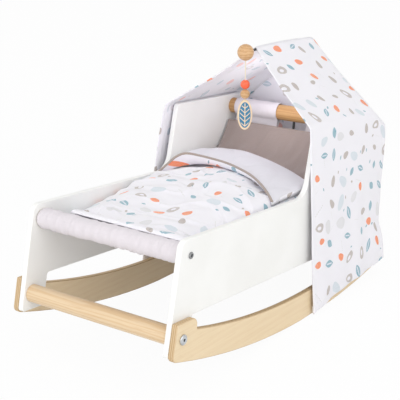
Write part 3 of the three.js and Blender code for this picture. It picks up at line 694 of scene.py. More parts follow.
class Nodes:
    """A tree of shader nodes in the making."""

    def __init__(self, tree: bpy.types.NodeTree) -> None:
        """Takes the tree of a material or of the world."""
        self.tree = tree

    def put(self, socket: bpy.types.NodeSocket, value: Any) -> None:
        """Connects a value to an input socket, or sets a constant there.

        Args:
            socket: an input of a node.
            value: what it gets.
        """
        if isinstance(value, Value):
            self.tree.links.new(value.socket, socket)
        else:
            socket.default_value = value

    def node(self, kind: str, values: dict[Any, Any] | None = None, take: Any = 0, **settings: Any) -> Any:
        """Adds a node.

        Args:
            kind: its type, without the leading ShaderNode.
            values: an input's name or number, with a constant or a value for it.
            take: name or number of the output that is wanted, or a tuple of several.
            settings: attributes of the node itself.

        Returns:
            That output as a value, or a list of them.
        """
        made = self.tree.nodes.new(f"ShaderNode{kind}")
        for setting, value in settings.items():
            setattr(made, setting, value)
        for socket, value in (values or {}).items():
            self.put(made.inputs[socket], value)
        if isinstance(take, tuple):
            return [Value(self, made.outputs[one]) for one in take]
        return Value(self, made.outputs[take])

    def blend(self, share: Any, a: Any, b: Any) -> Value:
        """Mixes two colours."""
        ends = [end if isinstance(end, Value) else (*end, 1.0) for end in (a, b)]
        return self.node("Mix", {0: share, 6: ends[0], 7: ends[1]}, 2, data_type="RGBA")

    def shown_white(self, share: float, surface: Value, kind: str, output: str) -> None:
        """Lets a share of a surface look plain white to the camera and in reflections.

        Args:
            share: how much of what is seen directly is white.
            surface: what lights the object and takes its shadow.
            kind: type of the node that gives the white.
            output: name of the tree's output node.
        """
        rays = ("Is Camera Ray", "Is Glossy Ray", "Is Transmission Ray")
        camera, glossy, through = self.node("LightPath", take=rays)
        seen = camera.most(glossy).most(through) * share
        white = self.node(kind, {"Color": (1.0, 1.0, 1.0, 1.0), "Strength": 1.0})
        both = self.node("MixShader", {0: seen, 1: surface, 2: white})
        self.put(self.tree.nodes[output].inputs["Surface"], both)


class Shader(Nodes):
    """The nodes of one material. place is the place in the frame, cloth the piece's own map in metres."""

    def __init__(self, name: str, colour: Colour, roughness: float, **sockets: Any) -> None:
        """Starts a material with a principled shader and constants on its sockets.

        Args:
            name: of the material.
            colour: of its surface.
            roughness: from 0 to 1.
        """
        self.material = bpy.data.materials.new(name)
        self.material.use_nodes = True
        super().__init__(self.material.node_tree)
        self.surface = self.tree.nodes["Principled BSDF"]
        for socket, value in {"Base_Color": (*colour, 1.0), "Roughness": roughness, **sockets}.items():
            self.feed(socket.replace("_", " "), value)
        self.place, self.cloth = self.node("TexCoord", take=("Object", "UV"))

    def feed(self, socket: str, value: Any) -> None:
        """Connects a value to the principled shader."""
        self.put(self.surface.inputs[socket], value)

    def bump(self, height: Value, distance: float, strength: float) -> None:
        """Raises the surface by height times distance, in metres, on top of an earlier bump.

        Args:
            height: share of the full relief.
            distance: the full relief in metres.
            strength: how much of it shows, 0 to 1.
        """
        made = self.node("Bump", {"Height": height, "Distance": distance, "Strength": strength})
        earlier = self.surface.inputs["Normal"].links
        if earlier:
            self.tree.links.new(earlier[0].from_socket, made.socket.node.inputs["Normal"])
        self.feed("Normal", made)


@dataclass(frozen=True)
class PaintedBoard:
    """Satin white paint on board, with a faint roller texture and slightly rubbed tone."""

    colour: Colour = (0.935, 0.935, 0.915)
    shade: Colour = (0.9, 0.9, 0.875)
    roughness: float = 0.42

    def material(self) -> bpy.types.Material:
        """The finish as a material.

        Returns:
            The new material.
        """
        shader = Shader("white_paint", self.colour, self.roughness, Coat_Weight=0.08, Coat_Roughness=0.3)
        cloud, grain = shader.place.noise(14.0, 4.0), shader.place.noise(900.0, 2.0)
        shader.feed("Base Color", shader.blend(cloud.stretch(0.35, 0.7), self.colour, self.shade))
        shader.feed("Roughness", grain.stretch(0.2, 0.8, 0.38, 0.5))
        shader.bump(grain, 0.00005, 0.5)
        return shader.material


@dataclass(frozen=True)
class Timber:
    """Clear-lacquered wood with long grain along one axis.

    Attributes:
        name: of the material.
        pale, dark, streak: colours of the early wood, the late wood and its streaks.
        along: scale of the grain on each axis, least along the fibres.
        fineness: bands to the metre across the grain.
        banding: how strongly the bands show.
        pattern: BANDS for sawn wood, RINGS for turned wood.
    """

    name: str
    pale: Colour
    dark: Colour
    streak: Colour
    along: tuple[float, float, float]
    roughness: float
    fineness: float
    banding: float
    pattern: str = "BANDS"

    def material(self) -> bpy.types.Material:
        """The finish as a material.

        Returns:
            The new material.
        """
        shader = Shader(self.name, self.pale, self.roughness, Coat_Weight=0.12, Coat_Roughness=0.25)
        place = shader.place.scaled(self.along)
        warp, fibre = place.noise(18.0, 2.0), place.noise(420.0, 4.0, 0.65)
        wave = {
            "Scale": self.fineness, "Distortion": 9.0, "Detail": 3.0, "Detail Scale": 1.2,
            "Detail Roughness": 0.6,
        }
        bands = shader.node(
            "TexWave", {"Vector": place, **wave}, "Fac", wave_type=self.pattern, bands_direction="Z"
        )
        tone = shader.blend(bands.stretch(0.25, 1.0, 0.0, self.banding), self.pale, self.dark)
        tone = shader.blend(warp.stretch(0.45, 0.8, 0.0, 0.6 * self.banding), tone, self.streak)
        shader.feed("Base Color", shader.blend(fibre.stretch(0.5, 0.75, 0.0, 0.35), tone, self.streak))
        shader.feed("Roughness", fibre.stretch(0.3, 0.7, self.roughness - 0.05, self.roughness + 0.1))
        shader.bump(fibre, 0.00008, 0.5)
        return shader.material


@dataclass(frozen=True)
class PlyEdge:
    """Sawn and sanded edge of plywood: layers across the thickness, dark where the grain stands on end."""

    pale: Colour = (0.68, 0.51, 0.31)
    dark: Colour = (0.51, 0.34, 0.17)
    layer: float = 0.00142

    def material(self) -> bpy.types.Material:
        """The finish as a material.

        Returns:
            The new material.
        """
        shader = Shader("birch_ply_edge", self.pale, 0.55)
        wobble = shader.place.scaled((0.0, 6.0, 6.0)).noise(3.0, 2.0)
        across = shader.node("SeparateXYZ", {0: shader.place})
        cycle = ((across + wobble * 0.0004) / (2 * self.layer)).fraction()
        fibre = shader.place.scaled((3.0, 0.25, 0.25)).noise(700.0, 3.0)
        tone = shader.blend(abs(cycle - 0.5).stretch(0.2, 0.3), self.pale, self.dark)
        shader.feed("Base Color", shader.blend(fibre.stretch(0.4, 0.8, 0.0, 0.4), tone, self.dark))
        shader.bump(fibre, 0.0001, 0.6)
        return shader.material


@dataclass(frozen=True)
class Metal:
    """Plated or blackened steel with fine turning marks."""

    name: str
    colour: Colour
    roughness: float

    def material(self) -> bpy.types.Material:
        """The finish as a material.

        Returns:
            The new material.
        """
        shader = Shader(self.name, self.colour, self.roughness, Metallic=1.0)
        marks, cloud = shader.place.noise(2600.0, 3.0), shader.place.noise(260.0, 2.0)
        darker = tuple(0.72 * c for c in self.colour)
        shader.feed("Base Color", shader.blend(cloud.stretch(0.4, 0.75), self.colour, darker))
        shader.feed("Roughness", marks.stretch(0.3, 0.7, self.roughness - 0.07, self.roughness + 0.12))
        shader.bump(marks, 0.00002, 0.4)
        return shader.material


@dataclass(frozen=True)
class Lacquer:
    """Coloured gloss on turned wood."""

    name: str
    colour: Colour
    roughness: float = 0.2

    def material(self) -> bpy.types.Material:
        """The finish as a material.

        Returns:
            The new material.
        """
        shader = Shader(self.name, self.colour, self.roughness, Coat_Weight=0.6, Coat_Roughness=0.08)
        cloud = shader.place.noise(300.0, 3.0)
        deeper = tuple(0.86 * c for c in self.colour)
        shader.feed("Base Color", shader.blend(cloud.stretch(0.4, 0.7), self.colour, deeper))
        shader.bump(cloud, 0.00006, 0.4)
        return shader.material


class Side(Enum):
    """Which face of the printed cloth a surface shows."""

    FACE = "face"
    REVERSE = "reverse"


@dataclass(frozen=True)
class Cotton:
    """Plain-woven cotton, on the piece's own map in metres."""

    name: str
    colour: Colour
    shade: Colour
    thread: float = 0.00075
    roughness: float = 0.85
    sheen: float = 0.25
    slub: float = 0.35
    glow: float = 0.0
    scatter_depth: float = 0.0016

    def woven(self) -> tuple[Shader, Value]:
        """The cloth without any print, and its tone.

        Returns:
            The shader and the tone.
        """
        shader = Shader(
            self.name, self.colour, self.roughness, Sheen_Weight=self.sheen, Sheen_Roughness=0.5,
            Specular_IOR_Level=0.2, Subsurface_Weight=self.glow, Subsurface_Scale=self.scatter_depth,
            Subsurface_Radius=(1.0, 1.0, 1.0),
        )
        x, y = shader.node("SeparateXYZ", {0: shader.cloth}, (0, 1))
        pitch = FULL_TURN / self.thread
        weave = (x * pitch).sine() * (y * pitch).sine()
        slubs = shader.cloth.scaled((1.0, 0.12, 1.0)).noise(700.0, 2.0)
        threads = slubs.most(shader.cloth.scaled((0.12, 1.0, 1.0)).noise(700.0, 2.0))
        tone = shader.blend(threads.stretch(0.5, 0.85, 0.0, self.slub), self.colour, self.shade)
        shader.feed("Base Color", tone)
        shader.bump(weave, 0.00005, 0.5)
        shader.bump(threads, 0.00015, 0.4)
        return shader, tone

    def material(self) -> bpy.types.Material:
        """The finish as a material."""
        return self.woven()[0].material


class Shape(Enum):
    """Outlines of the printed motifs."""

    PEBBLE = 0
    RING = 1
    SEED = 2
    SLIT_SEED = 3
    STROKE = 4


@dataclass(frozen=True)
class Motif:
    """One kind of printed shape.

    Attributes:
        share: how many of the cells carry it.
        ink: its colour.
        cover: how strongly it is printed.
        length: half its length in metres.
        slim: its width over its length.
        shape: its outline.
    """

    share: float
    ink: Colour
    cover: float
    length: float
    slim: float
    shape: Shape


CORAL: Colour = (1.0, 0.25, 0.07)
TEAL: Colour = (0.19, 0.39, 0.47)
TAUPE: Colour = (0.44, 0.375, 0.325)
STONE: Colour = (0.66, 0.66, 0.645)
MIST: Colour = (0.56, 0.66, 0.7)

LARGE_MOTIFS: tuple[Motif, ...] = (
    Motif(0.2, CORAL, 0.95, 0.0085, 0.7, Shape.PEBBLE),
    Motif(0.17, TEAL, 0.95, 0.0125, 0.46, Shape.SLIT_SEED),
    Motif(0.11, TEAL, 0.9, 0.0085, 0.62, Shape.SEED),
    Motif(0.1, TAUPE, 0.8, 0.0125, 0.6, Shape.RING),
    Motif(0.13, TAUPE, 0.85, 0.0078, 0.58, Shape.PEBBLE),
    Motif(0.11, STONE, 0.6, 0.0125, 0.66, Shape.PEBBLE),
    Motif(0.1, MIST, 0.65, 0.0125, 0.6, Shape.PEBBLE),
    Motif(0.08, STONE, 0.9, 0.0125, 0.2, Shape.STROKE),
)
SMALL_MOTIFS: tuple[Motif, ...] = (
    Motif(0.08, TEAL, 0.9, 0.0036, 0.45, Shape.SEED),
    Motif(0.04, TAUPE, 0.8, 0.003, 0.6, Shape.PEBBLE),
    Motif(0.06, STONE, 0.8, 0.008, 0.18, Shape.STROKE),
    Motif(0.82, STONE, 0.0, 0.003, 0.5, Shape.SEED),
)


@dataclass(frozen=True)
class Scatter:
    """Motifs spread over the cloth, one to a cell."""

    spacing: float
    seed: float
    motifs: tuple[Motif, ...]


@dataclass(frozen=True)
class PrintedCotton:
    """White cotton with a loose scatter of pebbles, rings, seeds and strokes."""

    name: str
    side: Side
    ground: Colour = (0.885, 0.87, 0.945)
    shade: Colour = (0.835, 0.815, 0.9)
    show_through: float = 0.5
    scatters: tuple[Scatter, ...] = (Scatter(0.0335, 3.7, LARGE_MOTIFS), Scatter(0.021, 11.3, SMALL_MOTIFS))
    randomness: float = 0.6
    size_code: float = 0.02
    shape_code: float = 8.0

    def _look_up(self, pick: Value, motifs: Sequence[Motif], code: Callable[[Motif], Any]) -> list[Value]:
        """Colour and alpha of a stepped ramp that turns the random pick into one motif's code.

        Args:
            pick: random number from 0 to 1.
            motifs: to choose among.
            code: gives a motif's four numbers.

        Returns:
            The code's first three numbers as a colour, and its fourth.
        """
        found = pick.nodes.node("ValToRGB", {"Fac": pick}, ("Color", "Alpha"))
        ramp = found[0].socket.node.color_ramp
        ramp.interpolation = "CONSTANT"
        ramp.elements.remove(ramp.elements[1])
        start = 0.0
        for number, motif in enumerate(motifs):
            stop = ramp.elements[0] if number == 0 else ramp.elements.new(start)
            stop.color = code(motif)
            start += motif.share
        return found

    def _print(self, shader: Shader, scatter: Scatter) -> tuple[Value, Value]:
        """Cover and ink of one scatter.

        A cell's own random colour picks its motif, turn and size. In the motif's own axes, with
        a across and b along in shares of its half width and half length, e = √(a² + b²) with
        some lumpiness. A pebble is e < 1, a ring leaves out a smaller ellipse beside the middle, a
        seed is |a| < 1 - b², a slit seed leaves out a thin line along its middle, and a
        stroke is a row of dashes.

        Args:
            shader: the material in the making.
            scatter: spacing, seed and motifs.

        Returns:
            The cover from 0 to 1 and the ink's colour.
        """
        cell = shader.cloth.scaled((1 / scatter.spacing,) * 3, (scatter.seed, 2 * scatter.seed, 0))
        values = {"Vector": cell, "Scale": 1.0, "Randomness": self.randomness}
        flat = {"voronoi_dimensions": "2D"}
        draw, centre = shader.node("TexVoronoi", values, ("Color", "Position"), **flat)
        room = shader.node("TexVoronoi", values, "Radius", feature="N_SPHERE_RADIUS", **flat)
        pick, spin, jitter = shader.node("SeparateColor", {0: draw}, (0, 1, 2))
        ink, cover = self._look_up(pick, scatter.motifs, lambda m: (*m.ink, m.cover))
        size_and_shape = self._look_up(
            pick, scatter.motifs,
            lambda m: (m.length / self.size_code, m.slim, m.shape.value / self.shape_code, 1.0),
        )
        size, slim, kind = shader.node("SeparateColor", {0: size_and_shape[0]}, (0, 1, 2))
        local = shader.node("VectorMath", {0: cell, 1: centre}, operation="SUBTRACT")
        spun = {"Vector": local, "Angle": spin * FULL_TURN}
        turned = shader.node("VectorRotate", spun, rotation_type="Z_AXIS")
        across, along = shader.node("SeparateXYZ", {0: turned}, (0, 1))
        wanted = size * (self.size_code / scatter.spacing) * jitter.stretch(0.0, 1.0, 0.8, 1.12)
        length = wanted.least(room * 0.95)
        a, b = across / (length * slim), along / length
        lumps = (cell.noise(2.6, 1.5) - 0.5) * 0.42

        def reach(over: Value, up: Value) -> Value:
            """Distance from the middle of a lumpy ellipse whose rim is at 1."""
            return (over**2.0 + up**2.0).root() + lumps

        pebble = reach(a * (1.0 + b * 0.22), b).stretch(0.96, 1.04, 1.0, 0.0)
        hole = reach(a + 0.1, b - 0.06).stretch(0.4, 0.48)
        seed = (1.0 - b**2.0 - abs(a)).stretch(0.0, 0.1)
        slit = abs(a).stretch(0.13, 0.24, 0.25, 1.0).most(abs(b).stretch(0.6, 0.68))
        dashes = abs((b * 2.7).fraction() - 0.5).stretch(0.28, 0.36, 1.0, 0.0)
        stroke = dashes * abs(a + lumps * 4.0).stretch(0.22, 0.34, 1.0, 0.0) * abs(b).below(1.0)
        drawn = {
            Shape.PEBBLE: pebble, Shape.RING: pebble * hole, Shape.SEED: seed,
            Shape.SLIT_SEED: seed * slit, Shape.STROKE: stroke,
        }
        mask: Any = 0.0
        for shape, part in drawn.items():
            compared = {0: kind, 1: shape.value / self.shape_code, 2: 0.4 / self.shape_code}
            mask = shader.node("Math", compared, operation="COMPARE") * part + mask
        return mask * cover, ink

    def material(self) -> bpy.types.Material:
        """The finish as a material.

        Returns:
            The new material.
        """
        strength = self.show_through if self.side is Side.REVERSE else 1.0
        cloth = Cotton(self.name, self.ground, self.shade, 0.0007, 0.85, 0.15, 0.25, 1.0, 0.00035)
        shader, tone = cloth.woven()
        wash = shader.cloth.noise(700.0, 4.0).stretch(0.3, 0.7, 0.8, 1.0)
        for scatter in reversed(self.scatters):
            cover, ink = self._print(shader, scatter)
            tone = shader.blend(cover * (wash * strength), tone, ink)
        shader.feed("Base Color", tone)
        return shader.material


@dataclass(frozen=True)
class LeafPaint:
    """Painted face of the hanging disc: a blue field with pale ribs, inside a rim of bare wood."""

    ground: Colour = (0.03, 0.175, 0.33)
    light: Colour = (0.055, 0.26, 0.41)
    bare: Colour = (0.9, 0.72, 0.5)
    grain: Colour = (0.8, 0.58, 0.36)
    rib_pitch: float = 0.0068
    rib_width: float = 0.0008
    half_width: float = 0.0086
    half_height: float = 0.0195

    def material(self) -> bpy.types.Material:
        """The finish as a material: ribs rise from the midrib at a slant, |x| + rise in fixed steps.

        Returns:
            The new material.
        """
        shader = Shader("blue_paint", self.ground, 0.4, Coat_Weight=0.2, Coat_Roughness=0.2)
        x, y = shader.node("SeparateXYZ", {0: shader.cloth}, (0, 1))
        side = abs(x)
        cycle = ((y - side * 0.75 - side**2.0 * 22.0) / self.rib_pitch).fraction()
        off_rib = abs(cycle - 0.5) * self.rib_pitch
        rib = off_rib.stretch(self.rib_width * 0.8, self.rib_width * 1.2, 1.0, 0.0)
        inner = (x / self.half_width) ** 2.0 + (y / self.half_height) ** 2.0
        lines = rib.most(side.stretch(0.0005, 0.0008, 1.0, 0.0)) * inner.stretch(0.78, 0.84, 1.0, 0.0)
        inside = inner.stretch(0.98, 1.04, 1.0, 0.0)
        brush = shader.cloth.scaled((1.0, 0.2, 1.0)).noise(900.0, 3.0)
        fibre = shader.cloth.scaled((1.0, 0.12, 1.0)).noise(1200.0, 3.0)
        blue = shader.blend(brush.stretch(0.3, 0.75), self.ground, self.light)
        wood = shader.blend(fibre.stretch(0.35, 0.8), self.bare, self.grain)
        shader.feed("Base Color", shader.blend(inside, wood, shader.blend(lines, blue, wood)))
        shader.bump(inside * (1.0 - lines), 0.0002, 0.6)
        return shader.material


class Finishes:
    """All the materials of the cradle, made once."""

    def __init__(self) -> None:
        """Makes every material."""
        self.white = PaintedBoard().material()
        self.ply = Timber(
            "birch_ply", (0.84, 0.675, 0.445), (0.78, 0.595, 0.37), (0.71, 0.52, 0.3),
            (1.0, 0.05, 1.0), 0.5, 30.0, 0.35
        ).material()
        self.ply_edge = PlyEdge().material()
        self.pine = Timber(
            "pine", (0.78, 0.6, 0.39), (0.68, 0.46, 0.245), (0.56, 0.335, 0.15),
            (0.05, 1.0, 1.0), 0.42, 60.0, 0.6
        ).material()
        self.beech = Timber(
            "beech", (0.6, 0.35, 0.15), (0.48, 0.245, 0.085), (0.38, 0.165, 0.045),
            (0.06, 1.0, 1.0), 0.4, 60.0, 0.7
        ).material()
        self.bead_wood = Timber(
            "beech_turned", (0.73, 0.46, 0.235), (0.58, 0.32, 0.135), (0.46, 0.235, 0.085),
            (1.0, 0.35, 1.0), 0.38, 75.0,
            0.8, "RINGS",
        ).material()
        self.zinc = Metal("zinc_steel", (0.62, 0.64, 0.66), 0.3).material()
        self.dull_zinc = Metal("zinc_dull", (0.34, 0.345, 0.35), 0.4).material()
        # Near-black metal for the inside of the hex sockets: painted shade in the recess, not the zinc's own
        # colour.
        self.socket = Metal("socket_painted_shade", (0.12, 0.125, 0.13), 0.5).material()
        self.steel = Metal("dark_steel", (0.1, 0.1, 0.105), 0.36).material()
        self.plain = Cotton("plain_cotton", (0.75, 0.705, 0.74), (0.67, 0.625, 0.66)).material()
        self.hem = Cotton("white_hem", (0.9, 0.9, 0.91), (0.84, 0.84, 0.85)).material()
        self.lining = Cotton("white_lining", (0.77, 0.76, 0.81), (0.71, 0.7, 0.75), 0.0009).material()
        self.print = PrintedCotton("printed_cotton", Side.FACE).material()
        self.print_back = PrintedCotton("printed_cotton_back", Side.REVERSE).material()
        coarse = (0.0009, 0.9, 0.3, 0.5)
        self.taupe = Cotton("taupe_cotton", (0.345, 0.28, 0.258), (0.29, 0.232, 0.215), *coarse).material()
        self.piping = Cotton("taupe_piping", (0.42, 0.35, 0.31), (0.34, 0.28, 0.25), *coarse).material()
        self.cord = Cotton("cord_cotton", (0.86, 0.78, 0.66), (0.7, 0.6, 0.46), 0.0006).material()
        self.orange = Lacquer("orange_paint", (1.0, 0.13, 0.035)).material()
        self.leaf = LeafPaint().material()


class Studio:
    """Pale floor, soft lamps and the camera.

    The lamps are squares of a width in metres and a power in watts, and all face the middle. The
    glow is a faint round lamp under the canopy, unseen itself, that stands for light through its cloth.
    """

    camera_place = (0.8541, -1.2206, 0.6412)
    camera_turn_degrees = (90 - 17.68, 0.0, 35.73)
    lens = 95.175
    floor_size = 12.0
    floor_white = 0.95
    sky_colour = (0.985, 0.985, 0.985, 1.0)
    sky_strength = 0.74
    middle = (0.0, 0.0, 0.15)
    lamps = (
        ("key", (2.5, -1.1, 1.7), 2.2, 24.0),
        ("top", (0.3, -0.8, 3.0), 2.0, 3.0),
        ("front", (0.3, -3.0, 0.8), 2.2, 26.0),
        ("fill", (-2.6, -1.4, 1.2), 2.0, 7.0),
    )
    glow_place = (0.0, 0.17, 0.296)
    glow_size = 0.05
    glow_watts = 0.14

    def link(
        self, name: str, data: bpy.types.ID | None, place: Sequence[float] = (0, 0, 0)
    ) -> bpy.types.Object:
        """A new object of the studio at its place.

        Args:
            name: of the object.
            data: what it shows.
            place: in metres.

        Returns:
            The object.
        """
        made = bpy.data.objects.new(name, data)
        made.location = place
        bpy.context.collection.objects.link(made)
        return made

    def camera(self) -> None:
        """Puts the camera where the photograph was taken from."""
        data = bpy.data.cameras.new("camera")
        data.lens = self.lens
        data.sensor_width = 36.0
        data.clip_start = 0.01
        camera = self.link("camera", data, self.camera_place)
        camera.rotation_euler = [math.radians(a) for a in self.camera_turn_degrees]
        bpy.context.scene.camera = camera

    def floor(self) -> None:
        """A plain pale floor that shows nearly white to the camera and still keeps the shadow."""
        half = self.floor_size / 2
        mesh = bpy.data.meshes.new("floor")
        corners = [(-half, -half, 0.0), (half, -half, 0.0), (half, half, 0.0), (-half, half, 0.0)]
        mesh.from_pydata(corners, [], [(0, 1, 2, 3)])
        shader = Shader("floor", (0.9, 0.9, 0.9), 0.9, Specular_IOR_Level=0.0)
        shader.shown_white(
            self.floor_white, Value(shader, shader.surface.outputs[0]), "Emission", "Material Output"
        )
        mesh.materials.append(shader.material)
        self.link("floor", mesh)

    def world(self) -> None:
        """White surroundings: seen at strength 1, and lighting the object a little less."""
        world = bpy.data.worlds.new("surroundings")
        bpy.context.scene.world = world
        world.use_nodes = True
        nodes = Nodes(world.node_tree)
        sky = nodes.node("Background", {"Color": self.sky_colour, "Strength": self.sky_strength})
        nodes.shown_white(1.0, sky, "Background", "World Output")

    def light(self) -> None:
        """Puts up the lamps and the glow."""
        for name, place, size, watts in self.lamps:
            data = bpy.data.lights.new(name, "AREA")
            data.size = size
            data.energy = watts
            x, y, z = np.subtract(self.middle, place)
            turn = (math.atan2(math.hypot(x, y), -z), 0.0, math.atan2(y, x) - math.pi / 2)
            self.link(name, data, place).rotation_euler = turn
        data = bpy.data.lights.new("glow", "POINT")
        data.shadow_soft_size = self.glow_size
        data.energy = self.glow_watts
        glow = self.link("glow", data, self.glow_place)
        glow.visible_camera = False
        glow.visible_glossy = False

    def build(self) -> None:
        """Makes the whole studio."""
        bpy.context.scene.view_settings.view_transform = "Standard"
        self.camera()
        self.floor()
        self.world()
        self.light()


@dataclass
class Assembly:
    """A sub-assembly, with what each of them needs."""

    finishes: Finishes
    rocking: Rocking

    def skin(self, name: str) -> Skin:
        """A new piece that is drawn in level millimetres."""
        return Skin(name, self.rocking.place)


@dataclass
class Mobile(Assembly):
    """Cord, two beads and a leaf disc that hang from the ball.

    The cord's top, the drop of the upper bead and the leaf's gap are measured down the cord from
    the ball's middle, and lay_length is one turn of its strands.
    """

    anchor: Array
    cord_diameter: float = 2.0
    cord_top: float = 12.85
    strands: int = 3
    lay_length: float = 9.0
    bead_diameter: float = 14.2
    bead_bore: float = 3.2
    upper_drop: float = 48.0
    leaf_width: float = 22.5
    leaf_height: float = 46.0
    leaf_thickness: float = 5.0
    leaf_ease: float = 1.3
    leaf_gap: float = 1.4
    leaf_bore_depth: float = 6.0
    leaf_turn_degrees: float = 36.0

    def hang(self, points: Array) -> Array:
        """Row-frame metres of points below the ball's middle."""
        return self.rocking.upright(points, self.anchor)

    def skin(self, name: str) -> Skin:
        """A new piece that is drawn upright, in millimetres about the ball's middle."""
        return Skin(name, self.hang)

    @property
    def lower_drop(self) -> float:
        """Middle of the lower bead below the ball's."""
        return self.upper_drop + self.bead_diameter + SIZES.seat_gap

    @property
    def leaf_top(self) -> float:
        """Top of the disc below the ball's middle."""
        return self.lower_drop + self.bead_diameter / 2 + self.leaf_gap

    def bead(
        self, name: str, node: str, body: str, slot: str, material: bpy.types.Material, drop: float
    ) -> bpy.types.Object:
        """A turned bead: a sphere with a bore whose mouths are eased, as a closed outline round Z.

        Args:
            name: of the piece.
            node: CAD node that it replaces.
            body: that it rides on.
            slot: the record's slot.
            material: its finish.
            drop: of its middle below the ball's.

        Returns:
            The piece.
        """
        radius, bore = self.bead_diameter / 2, self.bead_bore / 2
        start = math.asin(bore / radius) + 0.09
        outer = radius * circle(np.linspace(math.pi / 2 - start, start - math.pi / 2, 26))
        top = outer[0, 1]
        mouth = np.array([[bore + 0.25, top - 0.05], [bore, top - 0.5]])
        points, uv = revolved(np.concatenate([mouth[::-1], outer, mouth * [1, -1]]), 48)
        closed = np.concatenate([uv, uv[:1]])
        skin = self.skin(name).grid(points - [0.0, 0.0, drop], closed, True, True)
        return skin.build(body, slot, [material], node)

    def leaf(self) -> bpy.types.Object:
        """The oval disc: rings that run from the middle of the front, round the eased rim, to the back.

        Returns:
            The piece.
        """
        half, ease = self.leaf_thickness / 2, self.leaf_ease
        rim, turn = np.linspace(0, math.pi / 2, 6), round_angles(72)
        inset = np.concatenate([np.linspace(1.0, 0.0, 7)[:-1] * 8.5 + ease, ease * (1 - np.sin(rim))])
        depth = np.concatenate([np.full(6, half), half - ease * (1 - np.cos(rim))])
        inset = np.concatenate([inset, inset[::-1]])[:, None]
        x = (self.leaf_width / 2 - inset) * np.cos(turn)
        y = np.concatenate([-depth, depth[::-1]])[:, None] + 0 * turn
        z = (self.leaf_height / 2 - inset) * np.sin(turn)
        cosine, sine = circle(math.radians(self.leaf_turn_degrees))
        middle = self.leaf_top + self.leaf_height / 2
        turned = np.stack([x * cosine - y * sine, x * sine + y * cosine, z - middle], -1)
        uv = np.stack([x, z], -1)
        closed = np.concatenate([uv, uv[:, :1]], 1)
        skin = self.skin("leaf_disc_painted").grid(turned, closed, False, True, True)
        skin.cap(turned[0], True, uv[0]).cap(turned[-1], False, uv[-1])
        return skin.build("leaf", "blue_paint", [self.finishes.leaf], "leaf_disc")

    def build(self) -> None:
        """Makes the cord with all that is on it."""
        f = self.finishes
        orange = self.bead(
            "orange_bead_gloss", "orange_bead", "upper_bead", "orange_paint", f.orange, self.upper_drop
        )
        wood = self.bead(
            "wood_bead_turned", "wood_bead", "lower_bead", "beech", f.bead_wood, self.lower_drop
        )
        leaf = self.leaf()
        drops = np.linspace(self.cord_top, self.leaf_top + self.leaf_bore_depth - SIZES.seat_gap, 180)
        path = drops[:, None] * [0.0, 0.0, -1.0]
        twist = self.strands * (round_angles(20) - FULL_TURN * drops[:, None] / self.lay_length)
        radius = self.cord_diameter / 2 * (0.86 + 0.14 * np.abs(np.cos(twist / 2)))
        rings, uv = tube(path, radius, 20, (0.0, 1.0, 0.0))
        skin = self.skin("mobile_cord_twisted").capped(rings, uv)
        cord = skin.build("mobile", "cord_cotton", [f.cord], "mobile_cord")
        route = self.hang(path)


